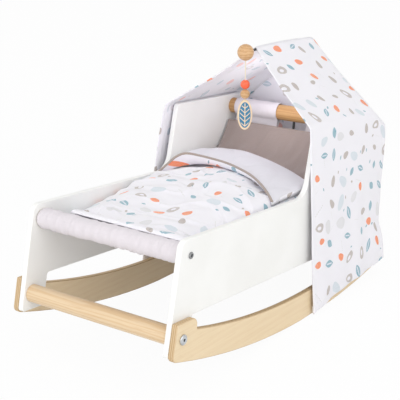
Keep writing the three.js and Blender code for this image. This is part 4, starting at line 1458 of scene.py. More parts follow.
@dataclass
class WoodenFrame(Assembly):
    """Side panels, runners and dowels."""

    edge: float = 1.1
    arc_step: float = 1.6
    side_step: float = 12.0

    def arc_corner(
        self, corner: Sequence[float], before: Sequence[float], after: Sequence[float], radius: float
    ) -> Array:
        """Points of the arc that rounds one corner of an outline, tangent to both its sides.

        Args:
            corner: (y, z) of the corner itself.
            before, after: (y, z) of its neighbours.
            radius: of the arc.

        Returns:
            Points of the arc in order, rows of (y, z).
        """
        here = np.array(corner, float)
        sides = unit(np.array([before, after], float) - here)
        half = math.acos(float(np.clip(sides[0] @ sides[1], -1, 1))) / 2
        centre = here + unit(sides.sum(0)) * radius / math.sin(half)
        start, end = here + sides * radius / math.tan(half) - centre
        first = math.atan2(start[1], start[0])
        sweep = (math.atan2(end[1], end[0]) - first + math.pi) % FULL_TURN - math.pi
        steps = max(3, int(abs(sweep) * radius / self.arc_step))
        return centre + radius * circle(first + sweep * np.linspace(0, 1, steps + 1))

    def outline(self, corners: Sequence[Sequence[float]]) -> Array:
        """Closed outline through corners of (y, z, radius), with an arc at each that has a radius.

        Args:
            corners: in order round the outline; radius 0 leaves a sharp one.

        Returns:
            Rows of (y, z), at most two steps apart on the straight sides.
        """
        pieces = []
        for i, (y, z, radius) in enumerate(corners):
            before, after = corners[i - 1][:2], corners[(i + 1) % len(corners)][:2]
            pieces.append(self.arc_corner((y, z), before, after, radius) if radius else np.array([[y, z]]))
        points = np.concatenate(pieces)
        ahead = np.roll(points, -1, 0) - points
        counts = np.maximum(1, (np.linalg.norm(ahead, axis=1) / self.side_step).astype(int))
        number = np.arange(counts.sum()) - np.repeat(np.cumsum(counts) - counts, counts)
        share = (number / np.repeat(counts, counts))[:, None]
        return np.repeat(points, counts, axis=0) + np.repeat(ahead, counts, axis=0) * share

    def board(
        self, node: str, finish: str, outline: Array, faces: Sequence[float],
        materials: Sequence[bpy.types.Material], slot: str,
    ) -> None:
        """A board with rounded edges.

        The outline is carried through the thickness on a quarter arc at each face: inset
        e (1 - sin a) at depth e (1 - cos a) from the face.

        Args:
            node: CAD node that it replaces.
            finish: last word of the piece's name.
            outline: closed line of (y, z), anticlockwise as seen from +X.
            faces: x of its two faces.
            materials: of the faces, then of the edge.
            slot: the record's slot.
        """
        inward = turned_left(unit(np.roll(outline, -1, 0) - np.roll(outline, 1, 0)))
        depth, inset = self.edge * (1 - circle(np.linspace(0, math.pi / 2, 5)).T)
        inner, outer = sorted(faces)
        xs = np.concatenate([inner + depth, (outer - depth)[::-1]])
        lines = outline + inward * np.concatenate([inset, inset[::-1]])[:, None, None]
        rings = np.concatenate([xs[:, None, None] + 0 * lines[..., :1], lines], -1)
        skin = self.skin(f"{node}_{finish}").capped(rings, None, True, len(materials) - 1)
        piece = skin.build("cradle", slot, materials, node)
        smooth = [len(face.vertices) <= 4 for face in piece.data.polygons]
        piece.data.polygons.foreach_set("use_smooth", smooth)

    def panel_outline(self) -> Array:
        """Leg, arch, leg, tall hood side and low bed side.

        Returns:
            Rows of (y, z).
        """
        s = SIZES
        feet, arch = s.leg_lift, s.panel_bottom
        leg_foot, leg_arch = (s.foot_edge(z) + s.leg_width for z in (feet, arch))
        return self.outline(
            [
                (s.foot_edge(feet), feet, 5.0),
                (leg_foot, feet, 5.0),
                (leg_arch, arch, 4.0),
                (-leg_arch, arch, 4.0),
                (-leg_foot, feet, 5.0),
                (s.rear_edge(feet), feet, 5.0),
                (s.rear_edge(s.tall_top), s.tall_top, 18.0),
                (s.hood_edge(s.tall_top), s.tall_top, 6.0),
                (s.hood_edge(s.low_top), s.low_top, 27.0),
                (s.foot_edge(s.low_top), s.low_top, 13.5),
            ]
        )

    def on_arc(self, radius: float, turn: Any) -> Array:
        """Points (y, z) at angles from straight below the rocker's axis."""
        return np.stack([radius * np.sin(turn), SIZES.rocker_radius - radius * np.cos(turn)], -1)

    def runner_outline(self) -> Array:
        """Rolling edge, leaning ends, upright tabs and the upper arc between them.

        The leaning end meets the rolling edge at the lower root of a z² + b z + c.

        Returns:
            Rows of (y, z).
        """
        s = SIZES
        slope = math.tan(math.radians(s.end_lean_degrees))
        a, b, c = 1 + slope**2, -2 * (slope * s.half_length + s.rocker_radius), s.half_length**2
        toe = (-b - math.sqrt(b * b - 4 * a * c)) / (2 * a)
        rest = math.radians(self.rocking.tilt_degrees)
        half = math.asin(self.rocking.rest_flat / 2 / s.rocker_radius)
        step = 2 * math.asin(12.5 / s.rocker_radius)
        reach = math.asin(s.rear_edge(toe) / s.rocker_radius) - step / 2
        before = np.arange(rest - half, -reach, -step)[::-1]
        after = np.arange(rest + half, reach, step)
        rolling = self.on_arc(s.rocker_radius, np.concatenate([before, after]))
        tab = s.foot_edge(s.panel_bottom) + s.leg_width
        tab_turn = math.asin(-tab / s.upper_arc)
        tab_foot = float(self.on_arc(s.upper_arc, tab_turn)[1])
        inner = self.on_arc(s.upper_arc, np.linspace(tab_turn, -tab_turn, 60)[1:-1])
        return self.outline(
            [
                (s.foot_edge(toe), toe, 8.0),
                *((y, z, 0.0) for y, z in rolling),
                (s.rear_edge(toe), toe, 8.0),
                (s.rear_edge(s.panel_bottom), s.panel_bottom, 2.0),
                (-tab, s.panel_bottom, 10.0),
                (-tab, tab_foot, 2.0),
                *((y, z, 0.0) for y, z in inner),
                (tab, tab_foot, 2.0),
                (tab, s.panel_bottom, 10.0),
                (s.foot_edge(s.panel_bottom), s.panel_bottom, 2.0),
            ]
        )

    def dowel(self, node: str, axis: Array, material: bpy.types.Material, slot: str) -> None:
        """A turned dowel along X with eased ends.

        Args:
            node: CAD node that it replaces.
            axis: its (y, z).
            material: its wood.
            slot: the record's slot.
        """
        half, radius = SIZES.inner_width / 2, SIZES.dowel_radius
        ends = np.array(
            [[0.0, -half], [radius - 1.0, -half], [radius - 0.3, -half + 0.3], [radius, -half + 1.0]]
        )
        shaft = np.stack([np.full(25, radius), np.linspace(-half + 4, half - 4, 25)], -1)
        points, uv = revolved(np.concatenate([ends, shaft, (ends * [1, -1])[::-1]]), 64)
        lying = np.stack([points[..., 2], axis[0] + points[..., 0], axis[1] + points[..., 1]], -1)
        self.skin(f"{node}_turned").grid(lying, uv, False, True).build("cradle", slot, [material], node)

    def build(self) -> None:
        """Makes the whole frame."""
        panel, runner = self.panel_outline(), self.runner_outline()
        f, s = self.finishes, SIZES
        for side, word in SIDES:
            faces = [side * (s.panel_outer - s.panel_thickness), side * s.panel_outer]
            self.board(f"side_panel_{word}", "painted", panel, faces, [f.white], "white_paint")
            faces = [side * s.runner_inner, side * s.runner_outer]
            self.board(f"runner_{word}", "ply", runner, faces, [f.ply, f.ply_edge], "birch_ply")
        self.dowel("foot_stretcher", s.foot_stretcher, f.pine, "pine")
        self.dowel("head_stretcher", s.head_stretcher, f.pine, "pine")
        self.dowel("foot_rail", s.foot_rail, f.pine, "pine")
        self.dowel("head_rail", s.head_rail, f.beech, "beech")


@dataclass
class Fasteners(Assembly):
    """Bolts through runner and panel, and screws through the panel."""

    bolt_head: float = 14.0
    screw_head: float = 9.0
    head_flat: float = 0.62
    dome_share: float = 0.75
    shank_diameter: float = 6.0
    engagement: float = 10.0
    socket_across: float = 4.6
    socket_depth: float = 1.3

    def head(
        self, node: str, axis: Array, side: int, seat: float, diameter: float, height: float,
        metal: bpy.types.Material,
    ) -> None:
        """A button head with a hexagon socket, and its shank.

        Rings of (radius, x) run from the floor of the socket, up its six walls, over the domed top
        and down to the tip of the shank. A ring of the socket has the radius
        r cos 30° / cos(a mod 60° - 30°).

        Args:
            node: CAD node that it replaces.
            axis: the fastener's (y, z).
            side: -1 on the left, 1 on the right.
            seat: x of the face that the head sits on, without its sign.
            diameter, height: of the head.
            metal: its finish outside the socket.
        """
        turn = round_angles(48)
        hexagon = math.cos(math.pi / 6) / np.cos(turn % (math.pi / 3) - math.pi / 6)
        socket, head, shank = self.socket_across / 2, diameter / 2, self.shank_diameter / 2
        base = seat + SIZES.seat_gap
        top, tip = base + height, SIZES.inner_width / 2 - self.engagement
        floor, flat = top - self.socket_depth, self.head_flat * head
        walls = [(0.0, floor - 0.3), (socket, floor), (socket, top - 0.15), (socket + 0.25, top)]
        dome = circle(np.linspace(0, math.pi / 2, 7)) - [1.0, 0.0]
        dome = [flat, top] + dome[:, ::-1] * [head - flat, self.dome_share * height]
        stem = [
            (head, base + 0.1), (head - 0.2, base), (shank, base), (shank, tip + 1.0),
            (shank - 0.5, tip), (0.0, tip),
        ]
        rings = np.array([*walls, *dome, *stem])[:, :, None]
        shape = np.where(np.arange(len(rings))[:, None] < len(walls), hexagon, 1.0)
        y, z = circle(turn).T[:, None] * (rings[:, 0] * shape)
        points = np.stack([side * rings[:, 1] + 0 * turn, axis[0] + y, axis[1] + z], -1)
        # The socket's floor and walls take the near-black metal: painted shade in the recess.
        skin = self.skin(f"{node}_zinc").grid(points[:3], None, False, True, kind=1)
        skin.grid(points[2:], None, False, True)
        skin.build("cradle", "zinc_steel", [metal, self.finishes.socket], node)

    def build(self) -> None:
        """Makes all eight."""
        s, zinc, dull = SIZES, self.finishes.zinc, self.finishes.dull_zinc
        bolt = (s.runner_outer, self.bolt_head, s.bolt_head_height, zinc)
        screw = (s.panel_outer, self.screw_head, s.screw_head_height, dull)
        places = {
            "foot_bolt": (s.foot_stretcher, bolt), "head_bolt": (s.head_stretcher, bolt),
            "foot_rail_screw": (s.foot_rail, screw), "head_rail_screw": (s.head_rail, screw),
        }
        for name, (axis, (seat, diameter, height, metal)) in places.items():
            for side, word in SIDES:
                self.head(f"{name}_{word}", axis, side, seat, diameter, height, metal)


@dataclass
class Sling(Assembly):
    """Cloth bed with a tunnel round the foot rail and two loops round the head rail.

    The sag's shares run from the foot end to the head end. The degrees say where the bed leaves
    the cloth round each rail.
    """

    cloth: float = 0.9
    side_gap: float = 4.0
    far_gap: float = 1.2
    loop_side_gap: float = 12.5
    loop_middle_gap: float = 54.0
    slit_depth: float = 34.0
    sag: float = 57.0
    start_degrees: float = -63.0
    end_degrees: float = -105.0
    sag_shares: tuple[tuple[float, float], ...] = (
        (0, 0), (0.018, 0.149), (0.047, 0.246), (0.081, 0.312), (0.194, 0.456), (0.307, 0.572),
        (0.42, 0.672), (0.533, 0.772), (0.646, 0.87), (0.736, 0.947), (0.792, 0.986), (0.837, 1),
        (0.871, 0.974), (0.898, 0.909), (0.928, 0.786), (0.957, 0.575), (0.98, 0.346), (0.993, 0.16), (1, 0),
    )

    def __post_init__(self) -> None:
        """Works out the two ends of the bed on the wrapped rails."""
        self.drop = profile(self.sag_shares)
        self.wrap = SIZES.dowel_radius + SIZES.seat_gap + SIZES.rail_cloth / 2
        self.start = self.on_rail(SIZES.foot_rail, self.start_degrees)
        self.end = self.on_rail(SIZES.head_rail, self.end_degrees)

    def on_rail(self, rail: Array, degrees: Any, extra: float = 0.0) -> Array:
        """Place on the cloth round a rail, at an angle from the head end's side."""
        return rail + (self.wrap + extra) * circle(np.radians(degrees))

    def line(self, share: Any) -> Array:
        """Middle of the bed's cloth: the straight line between its ends less the sag at that share.

        Args:
            share: of the way from the foot end, 0 to 1.

        Returns:
            Rows of (y, z).
        """
        share = np.asarray(share, float)
        straight = self.start + (self.end - self.start) * share[..., None]
        return straight - np.stack([0 * share, self.sag * self.drop(share)], -1)

    def share_at(self, y: Any) -> Any:
        """Share of the way from the foot end at which the bed passes y."""
        return np.clip((y - self.start[0]) / (self.end[0] - self.start[0]), 0.0, 1.0)

    def height(self, y: Any) -> Any:
        """Height of the bed at y."""
        return self.line(self.share_at(y))[..., 1]

    def strip(
        self, name: str, path: Array, edges: tuple[float, float], ruffle: float, seed: int, columns: int,
        node: str = "",
    ) -> bpy.types.Object:
        """Cloth carried along a path in (y, z), with hems and fine wrinkles across its width.

        Args:
            name: of the piece.
            path: points of the cloth's middle.
            edges: x of its two edges, the left one first.
            ruffle: height of the wrinkles.
            seed: picks them.
            columns: steps across.
            node: the CAD node that it replaces, if any.

        Returns:
            The piece.
        """
        normal = turned_left(unit(np.gradient(path, axis=0)))
        along, across = np.meshgrid(running_length(path), np.linspace(*edges, columns), indexing="ij")
        soft = 0.6 * waves(across, along, 11.0, seed, 9, 4.0) + 0.8 * creases(across, along, 18.0, seed, 5.0)
        lift = np.maximum(ruffle * soft / 2, -0.35)
        from_edge = np.minimum(across - edges[0], edges[1] - across)
        hem = 0.45 * (1 - smoothstep(from_edge, 6.5, 7.5))
        place = path[:, None] + normal[:, None] * (lift + hem)[..., None]
        points = np.concatenate([across[..., None], place], -1)
        skin = self.skin(name).grid(points, np.stack([across, along], -1))
        piece = skin.build("cradle", "plain_cotton", [self.finishes.plain], node, False)
        thicken(piece, self.cloth)
        return piece

    def build(self) -> None:
        """Makes the bed with its tunnel, then each loop."""
        foot, head, half = SIZES.foot_rail, SIZES.head_rail, SIZES.inner_width / 2
        slit = self.share_at(head[0] - self.slit_depth / 2)
        back = self.line(np.linspace(0.05, 0.004, 8)) - [0.0, 1.3]
        around = self.on_rail(foot, np.linspace(self.start_degrees - 14, self.start_degrees - 345, 56))
        bed = self.line((1 - np.cos(math.pi * np.linspace(0.02, 1, 90))) / 2 * slit)
        path = np.concatenate([back, around, bed])
        edges = (self.far_gap - half, half - self.side_gap)
        piece = self.strip("sling_bed_cloth", path, edges, 2.2, 5, 240, "sling_bed")
        join = self.share_at(head[0] - self.slit_depth)
        rise = self.line(np.linspace(join, 0.985, 14)) + [0.0, 0.9]
        wrap = self.on_rail(head, np.linspace(self.end_degrees + 352, self.end_degrees + 12, 50), 0.2)
        tail = self.line(np.linspace(0.98, join, 12)) - [0.0, 1.0]
        path = np.concatenate([rise, wrap[:-1], tail])
        for side, word in SIDES:
            left, right = sorted((side * self.loop_middle_gap / 2, side * (half - self.loop_side_gap)))
            loop = self.strip(f"sling_loop_{word}", path, (left, right), 0.6, 20 + side, 60)


@dataclass
class Pillow(Assembly):
    """Taupe pillow on the slope of the sling. Its shares are of the sling's way from foot to head."""

    sling: Sling
    side_gap: float = 4.0
    front_share: float = 0.76
    rear_share: float = 0.99
    seam: float = 6.0
    crown: float = 14.0
    draw_share: float = 0.015
    slope_length: float = 115.0
    piping_radius: float = 1.5

    @property
    def half_width(self) -> float:
        """Half the width of the bedding."""
        return SIZES.inner_width / 2 - self.side_gap

    def surfaces(self, u: Array, v: Array, worn: float = 1.0) -> tuple[Array, Array]:
        """Upper and lower skin at u across and v up the slope.

        Both stand off the sling's cloth along its normal. Fullness is the root of
        (1 - |u|³)(1 - |2v - 1|³), the crown swells by it and the seam runs where it is nought.

        Args:
            u: from -1 to 1 across.
            v: from 0 at the front to 1 at the head rail.
            worn: 1 with the dents of use, 0 without.

        Returns:
            Points of the top and of the bottom, in level millimetres.
        """
        share = mix(self.front_share, self.rear_share, v)
        on = self.sling.line(share)
        normal = turned_left(unit(self.sling.line(share + 0.001) - on))
        x = self.half_width * u * (1 - self.draw_share * 4 * v * (1 - v))
        full = np.sqrt(np.clip((1 - np.abs(u) ** 3) * (1 - np.abs(2 * v - 1) ** 3), 0, 1))
        base = SIZES.rail_cloth / 2 + 3 * SIZES.seat_gap
        dents = full * (1.3 * waves(x, 90 * v, 60.0, 31) + 0.9 * waves(x, 90 * v, 26.0, 32, 9, 3.0))
        dents = dents - 1.6 * full * creases(x, 90 * v, 75.0, 33, 2.5)
        high = base + self.seam + self.crown * full + worn * dents
        low = base + self.seam * (1 - full)
        top, bottom = (
            np.concatenate([x[..., None], on + normal * off[..., None]], -1) for off in (high, low)
        )
        return top, bottom

    def top_at(self, x: Array, y: Array) -> Array:
        """Height of the pillow over places in plan, found from samples of its upper skin.

        Args:
            x, y: places in plan, arrays of one shape.

        Returns:
            Heights, and far below where the pillow doesn't reach.
        """
        samples = 41
        u, v = np.meshgrid(np.linspace(-1, 1, samples), np.linspace(0, 1, samples), indexing="ij")
        top, _ = self.surfaces(u, v, 0.0)
        found = np.full(np.broadcast(x, y).shape, FAR_BELOW)
        column = np.rint((x / self.half_width + 1) * (samples - 1) / 2)
        column = np.clip(column, 0, samples - 1)
        for i, line in enumerate(top):
            here = column == i
            found[here] = np.interp(y[here], line[:, 1], line[:, 2], left=FAR_BELOW)
        return found

    def build(self) -> None:
        """Makes the pillow and the piping round its seam."""
        rows, columns = (np.sin(np.linspace(-1, 1, n) * math.pi / 2) for n in (60, 90))
        v, u = np.meshgrid(rows / 2 + 0.5, columns, indexing="ij")
        top, bottom = self.surfaces(u, v)
        uv = np.stack([top[..., 0], self.slope_length * v], -1)
        skin = self.skin("pillow_stuffed").grid(top, uv).grid(bottom, uv, flip=True)
        piece = skin.build("cradle", "taupe_cotton", [self.finishes.taupe], "pillow")
        subdivide(piece)
        rim = np.concatenate([top[0, :-1], top[:-1, -1], top[-1, :0:-1], top[:0:-1, 0]])
        rings, uv = tube(rim, self.piping_radius, 10, (0.0, 0.3, 1.0))
        cord = self.skin("pillow_piping").grid(rings, np.concatenate([uv, uv[:1]]), True, True)
        cord.build("cradle", "taupe_cotton", [self.finishes.taupe])


@dataclass
class Duvet(Assembly):
    """Printed duvet with its top edge turned back over itself.

    The rise shares run from foot to head. The piping line and the fold line are points of the
    turned-back edge, from the far side to the near side, read off the photograph.
    """

    sling: Sling
    pillow: Pillow
    foot_inset: float = 4.0
    foot_slant: float = 3.0
    behind_fold: float = 6.0
    rise: float = 43.0
    side_drop: float = 14.0
    thickness: float = 10.0
    rim: float = 10.0
    length: float = 345.0
    corner_draw: float = 38.0
    corner_reach: float = 62.0
    rise_shares: tuple[tuple[float, float], ...] = (
        (0, 0.4), (0.07, 0.35), (0.18, 0.37), (0.3, 0.48), (0.455, 0.71), (0.56, 0.84), (0.64, 0.86),
        (0.74, 0.82), (0.86, 0.8), (1, 0.8),
    )
    flap_arch: float = 4.5
    fold_radius: float = 4.0
    gap: float = 2.6
    piping_radius: float = 1.8
    piping_line: tuple[tuple[float, float, float], ...] = (
        (-113.5, 0, 186), (-111, 22, 197), (-106, 37, 207), (-97, 50, 212), (-76, 57, 211), (-37, 53, 210),
        (-10, 45, 209.5), (20, 32, 208), (45, 19, 206), (70, 3, 202), (95, -16, 196), (113, -30, 188),
    )
    fold_line: tuple[tuple[float, float, float], ...] = (
        (-114.5, 115.7, 207.2), (-89.6, 120.1, 210.7), (-72.0, 123.2, 213.2), (-40.5, 123.6, 214.6),
        (-7.0, 116.3, 212.8), (24.0, 108.1, 209.8), (63.6, 96.2, 204.2), (96.6, 82.2, 198.5),
        (114.5, 74.6, 195.4),
    )

    @property
    def half_width(self) -> float:
        """Half the width of the duvet."""
        return self.pillow.half_width - SIZES.seat_gap

    def support(self, x: Array, y: Array) -> Array:
        """What the duvet lies on: the sling, the wrapped foot rail and the pillow.

        It is the highest of them within 5 mm along the bed. The rail is drawn as a ridge whose
        sides fall off slowly and then steeply.

        Args:
            x, y: places in plan, arrays of one shape.

        Returns:
            Heights in level millimetres.
        """
        best = np.full(x.shape, FAR_BELOW)
        outer = SIZES.dowel_radius + SIZES.seat_gap + SIZES.rail_cloth
        foot = SIZES.foot_rail
        for shift in np.linspace(-5.0, 5.0, 9):
            at = y + shift
            cloth = self.sling.height(at) + SIZES.rail_cloth / 2 + SIZES.seat_gap
            away = np.maximum(0, np.abs(at - foot[0]) - outer * 0.28)
            rail = foot[1] + outer - 0.2 - 0.22 * away - 0.8 * np.maximum(0, away - 12)
            best = np.maximum.reduce([best, cloth, rail, self.pillow.top_at(x, at)])
        return best

    def eased(self, knots: Sequence[Sequence[float]], count: int) -> Array:
        """A smooth line through knots, resampled at even steps across the bed.

        Args:
            knots: points that the line passes.
            count: of the points returned.

        Returns:
            Rows of (x, y, z).
        """
        fine = spline(knots, 400)
        x = np.linspace(fine[0, 0], fine[-1, 0], count)
        return np.stack([x, np.interp(x, fine[:, 0], fine[:, 1]), np.interp(x, fine[:, 0], fine[:, 2])], -1)

    def ends(self, u: Array) -> tuple[Array, Array]:
        """Foot and head end of the flat part at u: the head end lies just behind the fold.

        Args:
            u: from -1 to 1 across.

        Returns:
            The y of both.
        """
        fold = self.eased(self.fold_line, 60)
        head = np.interp(self.half_width * u, fold[:, 0], fold[:, 1]) + self.behind_fold
        return SIZES.foot_rail[0] + self.foot_inset - self.foot_slant * u, head

    def plan(self, u: Array, v: Array) -> tuple[Array, Array]:
        """Place in plan of u across and v from foot to head.

        The far side is drawn in at the foot: x moves by the corner's width times u², easing off
        along the corner's reach.

        Args:
            u: from -1 to 1 across.
            v: from 0 at the foot to 1 at the head.

        Returns:
            The x and the y.
        """
        foot, head = self.ends(u)
        y = mix(foot, head, v)
        drawn = self.corner_draw * (1 - smoothstep(y - foot, 0.0, self.corner_reach))
        return self.half_width * u + drawn * np.clip(-u, 0, 1) ** 2, y

    def surfaces(self, u: Array, v: Array, worn: float = 1.0) -> tuple[Array, Array]:
        """Upper and lower skin of the part that lies flat.

        The crest follows the rise from foot to head less a fall of d |u|³ to the sides, with soft
        wrinkles, and is drawn down to the support over the rim on a quarter circle.

        Args:
            u: from -1 to 1 across.
            v: from 0 at the foot to 1 at the head.
            worn: 1 with the wrinkles of use, 0 without.

        Returns:
            Points of the top and of the bottom, in level millimetres.
        """
        x, y = self.plan(u, v)
        support = self.support(x, y)
        from_side = (1 - np.abs(u)) * self.half_width
        from_end = np.minimum(v, 1 - v) * self.length
        full = np.sqrt(1 - (1 - np.clip(np.minimum(from_side, from_end) / self.rim, 0, 1)) ** 2)
        risen = self.rise * profile(self.rise_shares)(v)
        crest = SIZES.foot_rail[1] + risen - self.side_drop * np.abs(u) ** 3
        used = 2.1 * waves(x, y, 90.0, 41) + 1.2 * waves(x, y, 36.0, 42)
        used = used + 2.4 * creases(x, y, 120.0, 43, 0.7) * smoothstep(from_end, 5, 40)
        corner = np.exp(-(((x + 60) / 40) ** 2 + ((y + 200) / 30) ** 2))
        used = used + 3.4 * corner * creases(x, y, 34.0, 44) * smoothstep(from_end, 2, 14)
        crest = crest + worn * used
        high = np.maximum(mix(support, crest, full), support + full * self.thickness / 2)
        low = np.maximum(mix(support, crest - self.thickness, full), support)
        low = np.minimum(low, high - full * self.thickness / 4)
        return np.stack([x, y, high], -1), np.stack([x, y, low], -1)

    def floor_at(self, u: Array, y: Array) -> Array:
        """Height of the flat part's upper skin, or of the pillow beyond its end, at u and y.

        Args:
            u: from -1 to 1 across.
            y: place along the bed.

        Returns:
            Heights in level millimetres.
        """
        foot, head = self.ends(u)
        top, _ = self.surfaces(u, np.clip((y - foot) / (head - foot), 0, 1), 0.0)
        return np.where(y > head, self.support(self.half_width * u, y), top[..., 2])

    def body(self) -> None:
        """The part that lies flat, as one closed padded skin, white under the flap and below."""
        across = np.sin(np.linspace(-1, 1, 110) * 1.35) / math.sin(1.35)
        v, u = np.meshgrid(np.linspace(0, 1, 150), across, indexing="ij")
        top, bottom = self.surfaces(u, v)
        uv = laid_out(top)
        shown = int(0.87 * len(v))
        skin = self.skin("duvet_quilt").grid(top[: shown + 1], uv[: shown + 1])
        skin.grid(top[shown:], uv[shown:], kind=1).grid(bottom, uv, kind=1)
        piece = skin.build("duvet", "printed_cotton", [self.finishes.print, self.finishes.lining], "duvet")
        subdivide(piece)

    def flap(self) -> None:
        """The turned-back top edge: a padded tongue, white above, printed at its front and below.

        Its section is a closed loop. It rises round the fold, runs over the white face
        to the piping, falls down the printed front to just above the quilt, and runs back underneath.
        """
        count, radius = 140, self.fold_radius
        piping, fold = self.eased(self.piping_line, count), self.eased(self.fold_line, count)
        u = np.clip(piping[:, 0] / self.half_width, -1, 1)
        turn = np.linspace(-math.pi / 2, math.pi / 2, 9)[:-1, None]
        round_y = fold[:, 1] + radius * np.cos(turn)
        round_z = fold[:, 2] - radius + radius * np.sin(turn)
        round_fold = np.stack([fold[:, 0] + 0 * turn, round_y, round_z], -1)
        w = np.linspace(0, 1, 44)[:, None]
        x, y, z = np.moveaxis(mix(fold[None], piping[None], w[..., None]), -1, 0)
        arch = np.sin(math.pi * w)
        used = (1.1 * waves(x, y, 75.0, 51) + 0.6 * waves(x, y, 30.0, 52, 9, 2.0)) * np.sqrt(arch)
        used = used - 1.4 * arch * creases(x, y, 90.0, 53, 1.6)
        droop = 3.0 * smoothstep(np.abs(u), 0.9, 1.0) ** 2 * np.minimum(1, 3 * arch)
        upper = np.stack([x, y, z + self.flap_arch * arch + used - droop], -1)
        end = upper[-1]
        depth = np.maximum(end[:, 2] - self.floor_at(u, end[:, 1]) - self.gap, 2.5)
        curl = np.linspace(0, math.pi, 13)[1:, None]
        fallen = (1 - np.cos(curl)) / 2
        lean = 2 + 7 * np.clip((depth - 9) / 12, 0, 1)
        front_y = end[:, 1] - 3.4 * np.sin(curl) + lean * fallen
        front = np.stack([end[:, 0] + 0 * curl, front_y, end[:, 2] - depth * fallen], -1)
        share = np.linspace(0.93, 0.0, 14)[:, None]
        back_y = mix(fold[:, 1], front_y[-1], share)
        under = self.floor_at(u + 0 * share, back_y) + mix(0.8, self.gap, share**4)
        low = mix(fold[:, 2] - 2 * radius, front[-1, :, 2], share)
        above = mix(fold[:, 2] - radius, end[:, 2] - 2.0, share)
        back = np.stack([end[:, 0] + 0 * share, back_y, np.minimum(np.maximum(low, under), above)], -1)
        loop = np.concatenate([round_fold, upper, front, back])
        uv = np.stack([loop[..., 0] + 50, running_length(loop) + 30], -1)
        split = len(round_fold) + len(upper)
        skin = self.skin("duvet_flap").grid(loop[:split], uv[:split], kind=1)
        skin.grid(np.concatenate([loop[split - 1 :], loop[:1]]), np.concatenate([uv[split - 1 :], uv[-1:]]))
        skin.cap(loop[:, 0]).cap(loop[:, -1])
        piece = skin.build("duvet", "printed_cotton", [self.finishes.print, self.finishes.lining])
        rings, uv = tube(end + [0, -0.6, 0.4], self.piping_radius, 12)
        self.skin("duvet_piping").capped(rings, uv).build("duvet", "taupe_cotton", [self.finishes.piping])

    def build(self) -> None:
        """Makes the quilt and its flap."""
        self.body()
        self.flap()


@dataclass
class CanopyRod(Assembly):
    """Bent steel rod with the turned ball on its front end.

    The rod reaches below the head rail, stands straight above it, leans back to the ridge's rear
    end and runs forwards along the ridge.
    """

    diameter: float = 4.0
    below: float = 33.0
    straight: float = 8.0
    lean_degrees: float = 24.0
    top_bend: float = 16.0
    low_bend: float = 6.0
    ridge_rise: float = 99.0
    ridge_fall: float = 6.5
    bow: float = 3.0
    ball_diameter: float = 24.5
    socket_depth: float = 8.0

    @property
    def ridge_height(self) -> float:
        """Height of the ridge's rear end."""
        return SIZES.tall_top + self.ridge_rise

    @property
    def front(self) -> Array:
        """Middle of the ball."""
        return np.array([0.0, SIZES.hood_edge(SIZES.tall_top), self.ridge_height - self.ridge_fall])

    @property
    def top(self) -> Array:
        """Corner at the rear end of the ridge.

        Returns:
            The point in level millimetres.
        """
        bend = SIZES.head_rail[1] + SIZES.dowel_radius + self.straight
        lean = math.tan(math.radians(self.lean_degrees))
        return np.array([0.0, SIZES.head_rail[0] + (self.ridge_height - bend) * lean, self.ridge_height])

    def axis_at(self, y: Any) -> Any:
        """Height of the ridge's axis: a straight fall to the front plus a bow of 4 b s (1 - s)."""
        share = np.clip((y - self.front[1]) / (self.top[1] - self.front[1]), 0, 1)
        return mix(self.front[2], self.top[2], share) + 4 * self.bow * share * (1 - share)

    def path(self) -> Array:
        """The rod's axis, whose bends are curves (1 - t)² a + 2 t (1 - t) b + t² c round a corner b.

        Returns:
            Rows of (x, y, z) from the rod's lower end to the ball.
        """
        y, z = SIZES.head_rail
        bottom = np.array([0.0, y, z - SIZES.dowel_radius - self.below])
        bend = np.array([0.0, y, z + SIZES.dowel_radius + self.straight])
        low_in, low_out = (bend + self.low_bend * unit(end - bend) for end in (bottom, self.top))
        top_in = self.top + self.top_bend * unit(bend - self.top)
        back_y = self.top[1] - self.top_bend
        ys = np.linspace(back_y, self.front[1] + self.ball_diameter / 2 - self.socket_depth, 26)
        ridge = np.stack([0 * ys, ys, self.axis_at(ys)], -1)
        lines = [np.linspace(bottom, low_in, 12)[:-1]]
        for a, b, c, count in ((low_in, bend, low_out, 8), (top_in, self.top, ridge[0], 12)):
            t = np.linspace(0, 1, count)[:-1, None]
            lines += [(1 - t) ** 2 * a + 2 * t * (1 - t) * b + t * t * c]
        return np.concatenate([*lines[:2], np.linspace(low_out, top_in, 20)[:-1], lines[2], ridge])

    def build(self) -> None:
        """Makes the rod, then the ball."""
        rings, uv = tube(self.path(), self.diameter / 2, 24, (1.0, 0.0, 0.0))
        skin = self.skin("canopy_rod_bent").capped(rings, uv)
        skin.build("canopy", "dark_steel", [self.finishes.steel], "canopy_rod")
        outline = circle(np.linspace(-math.pi / 2, math.pi / 2, 33)) * self.ball_diameter / 2
        points, uv = revolved(outline, 64)
        skin = self.skin("rod_ball_turned").grid(points + self.front, uv, False, True)
        skin.build("canopy", "beech", [self.finishes.bead_wood], "rod_ball")


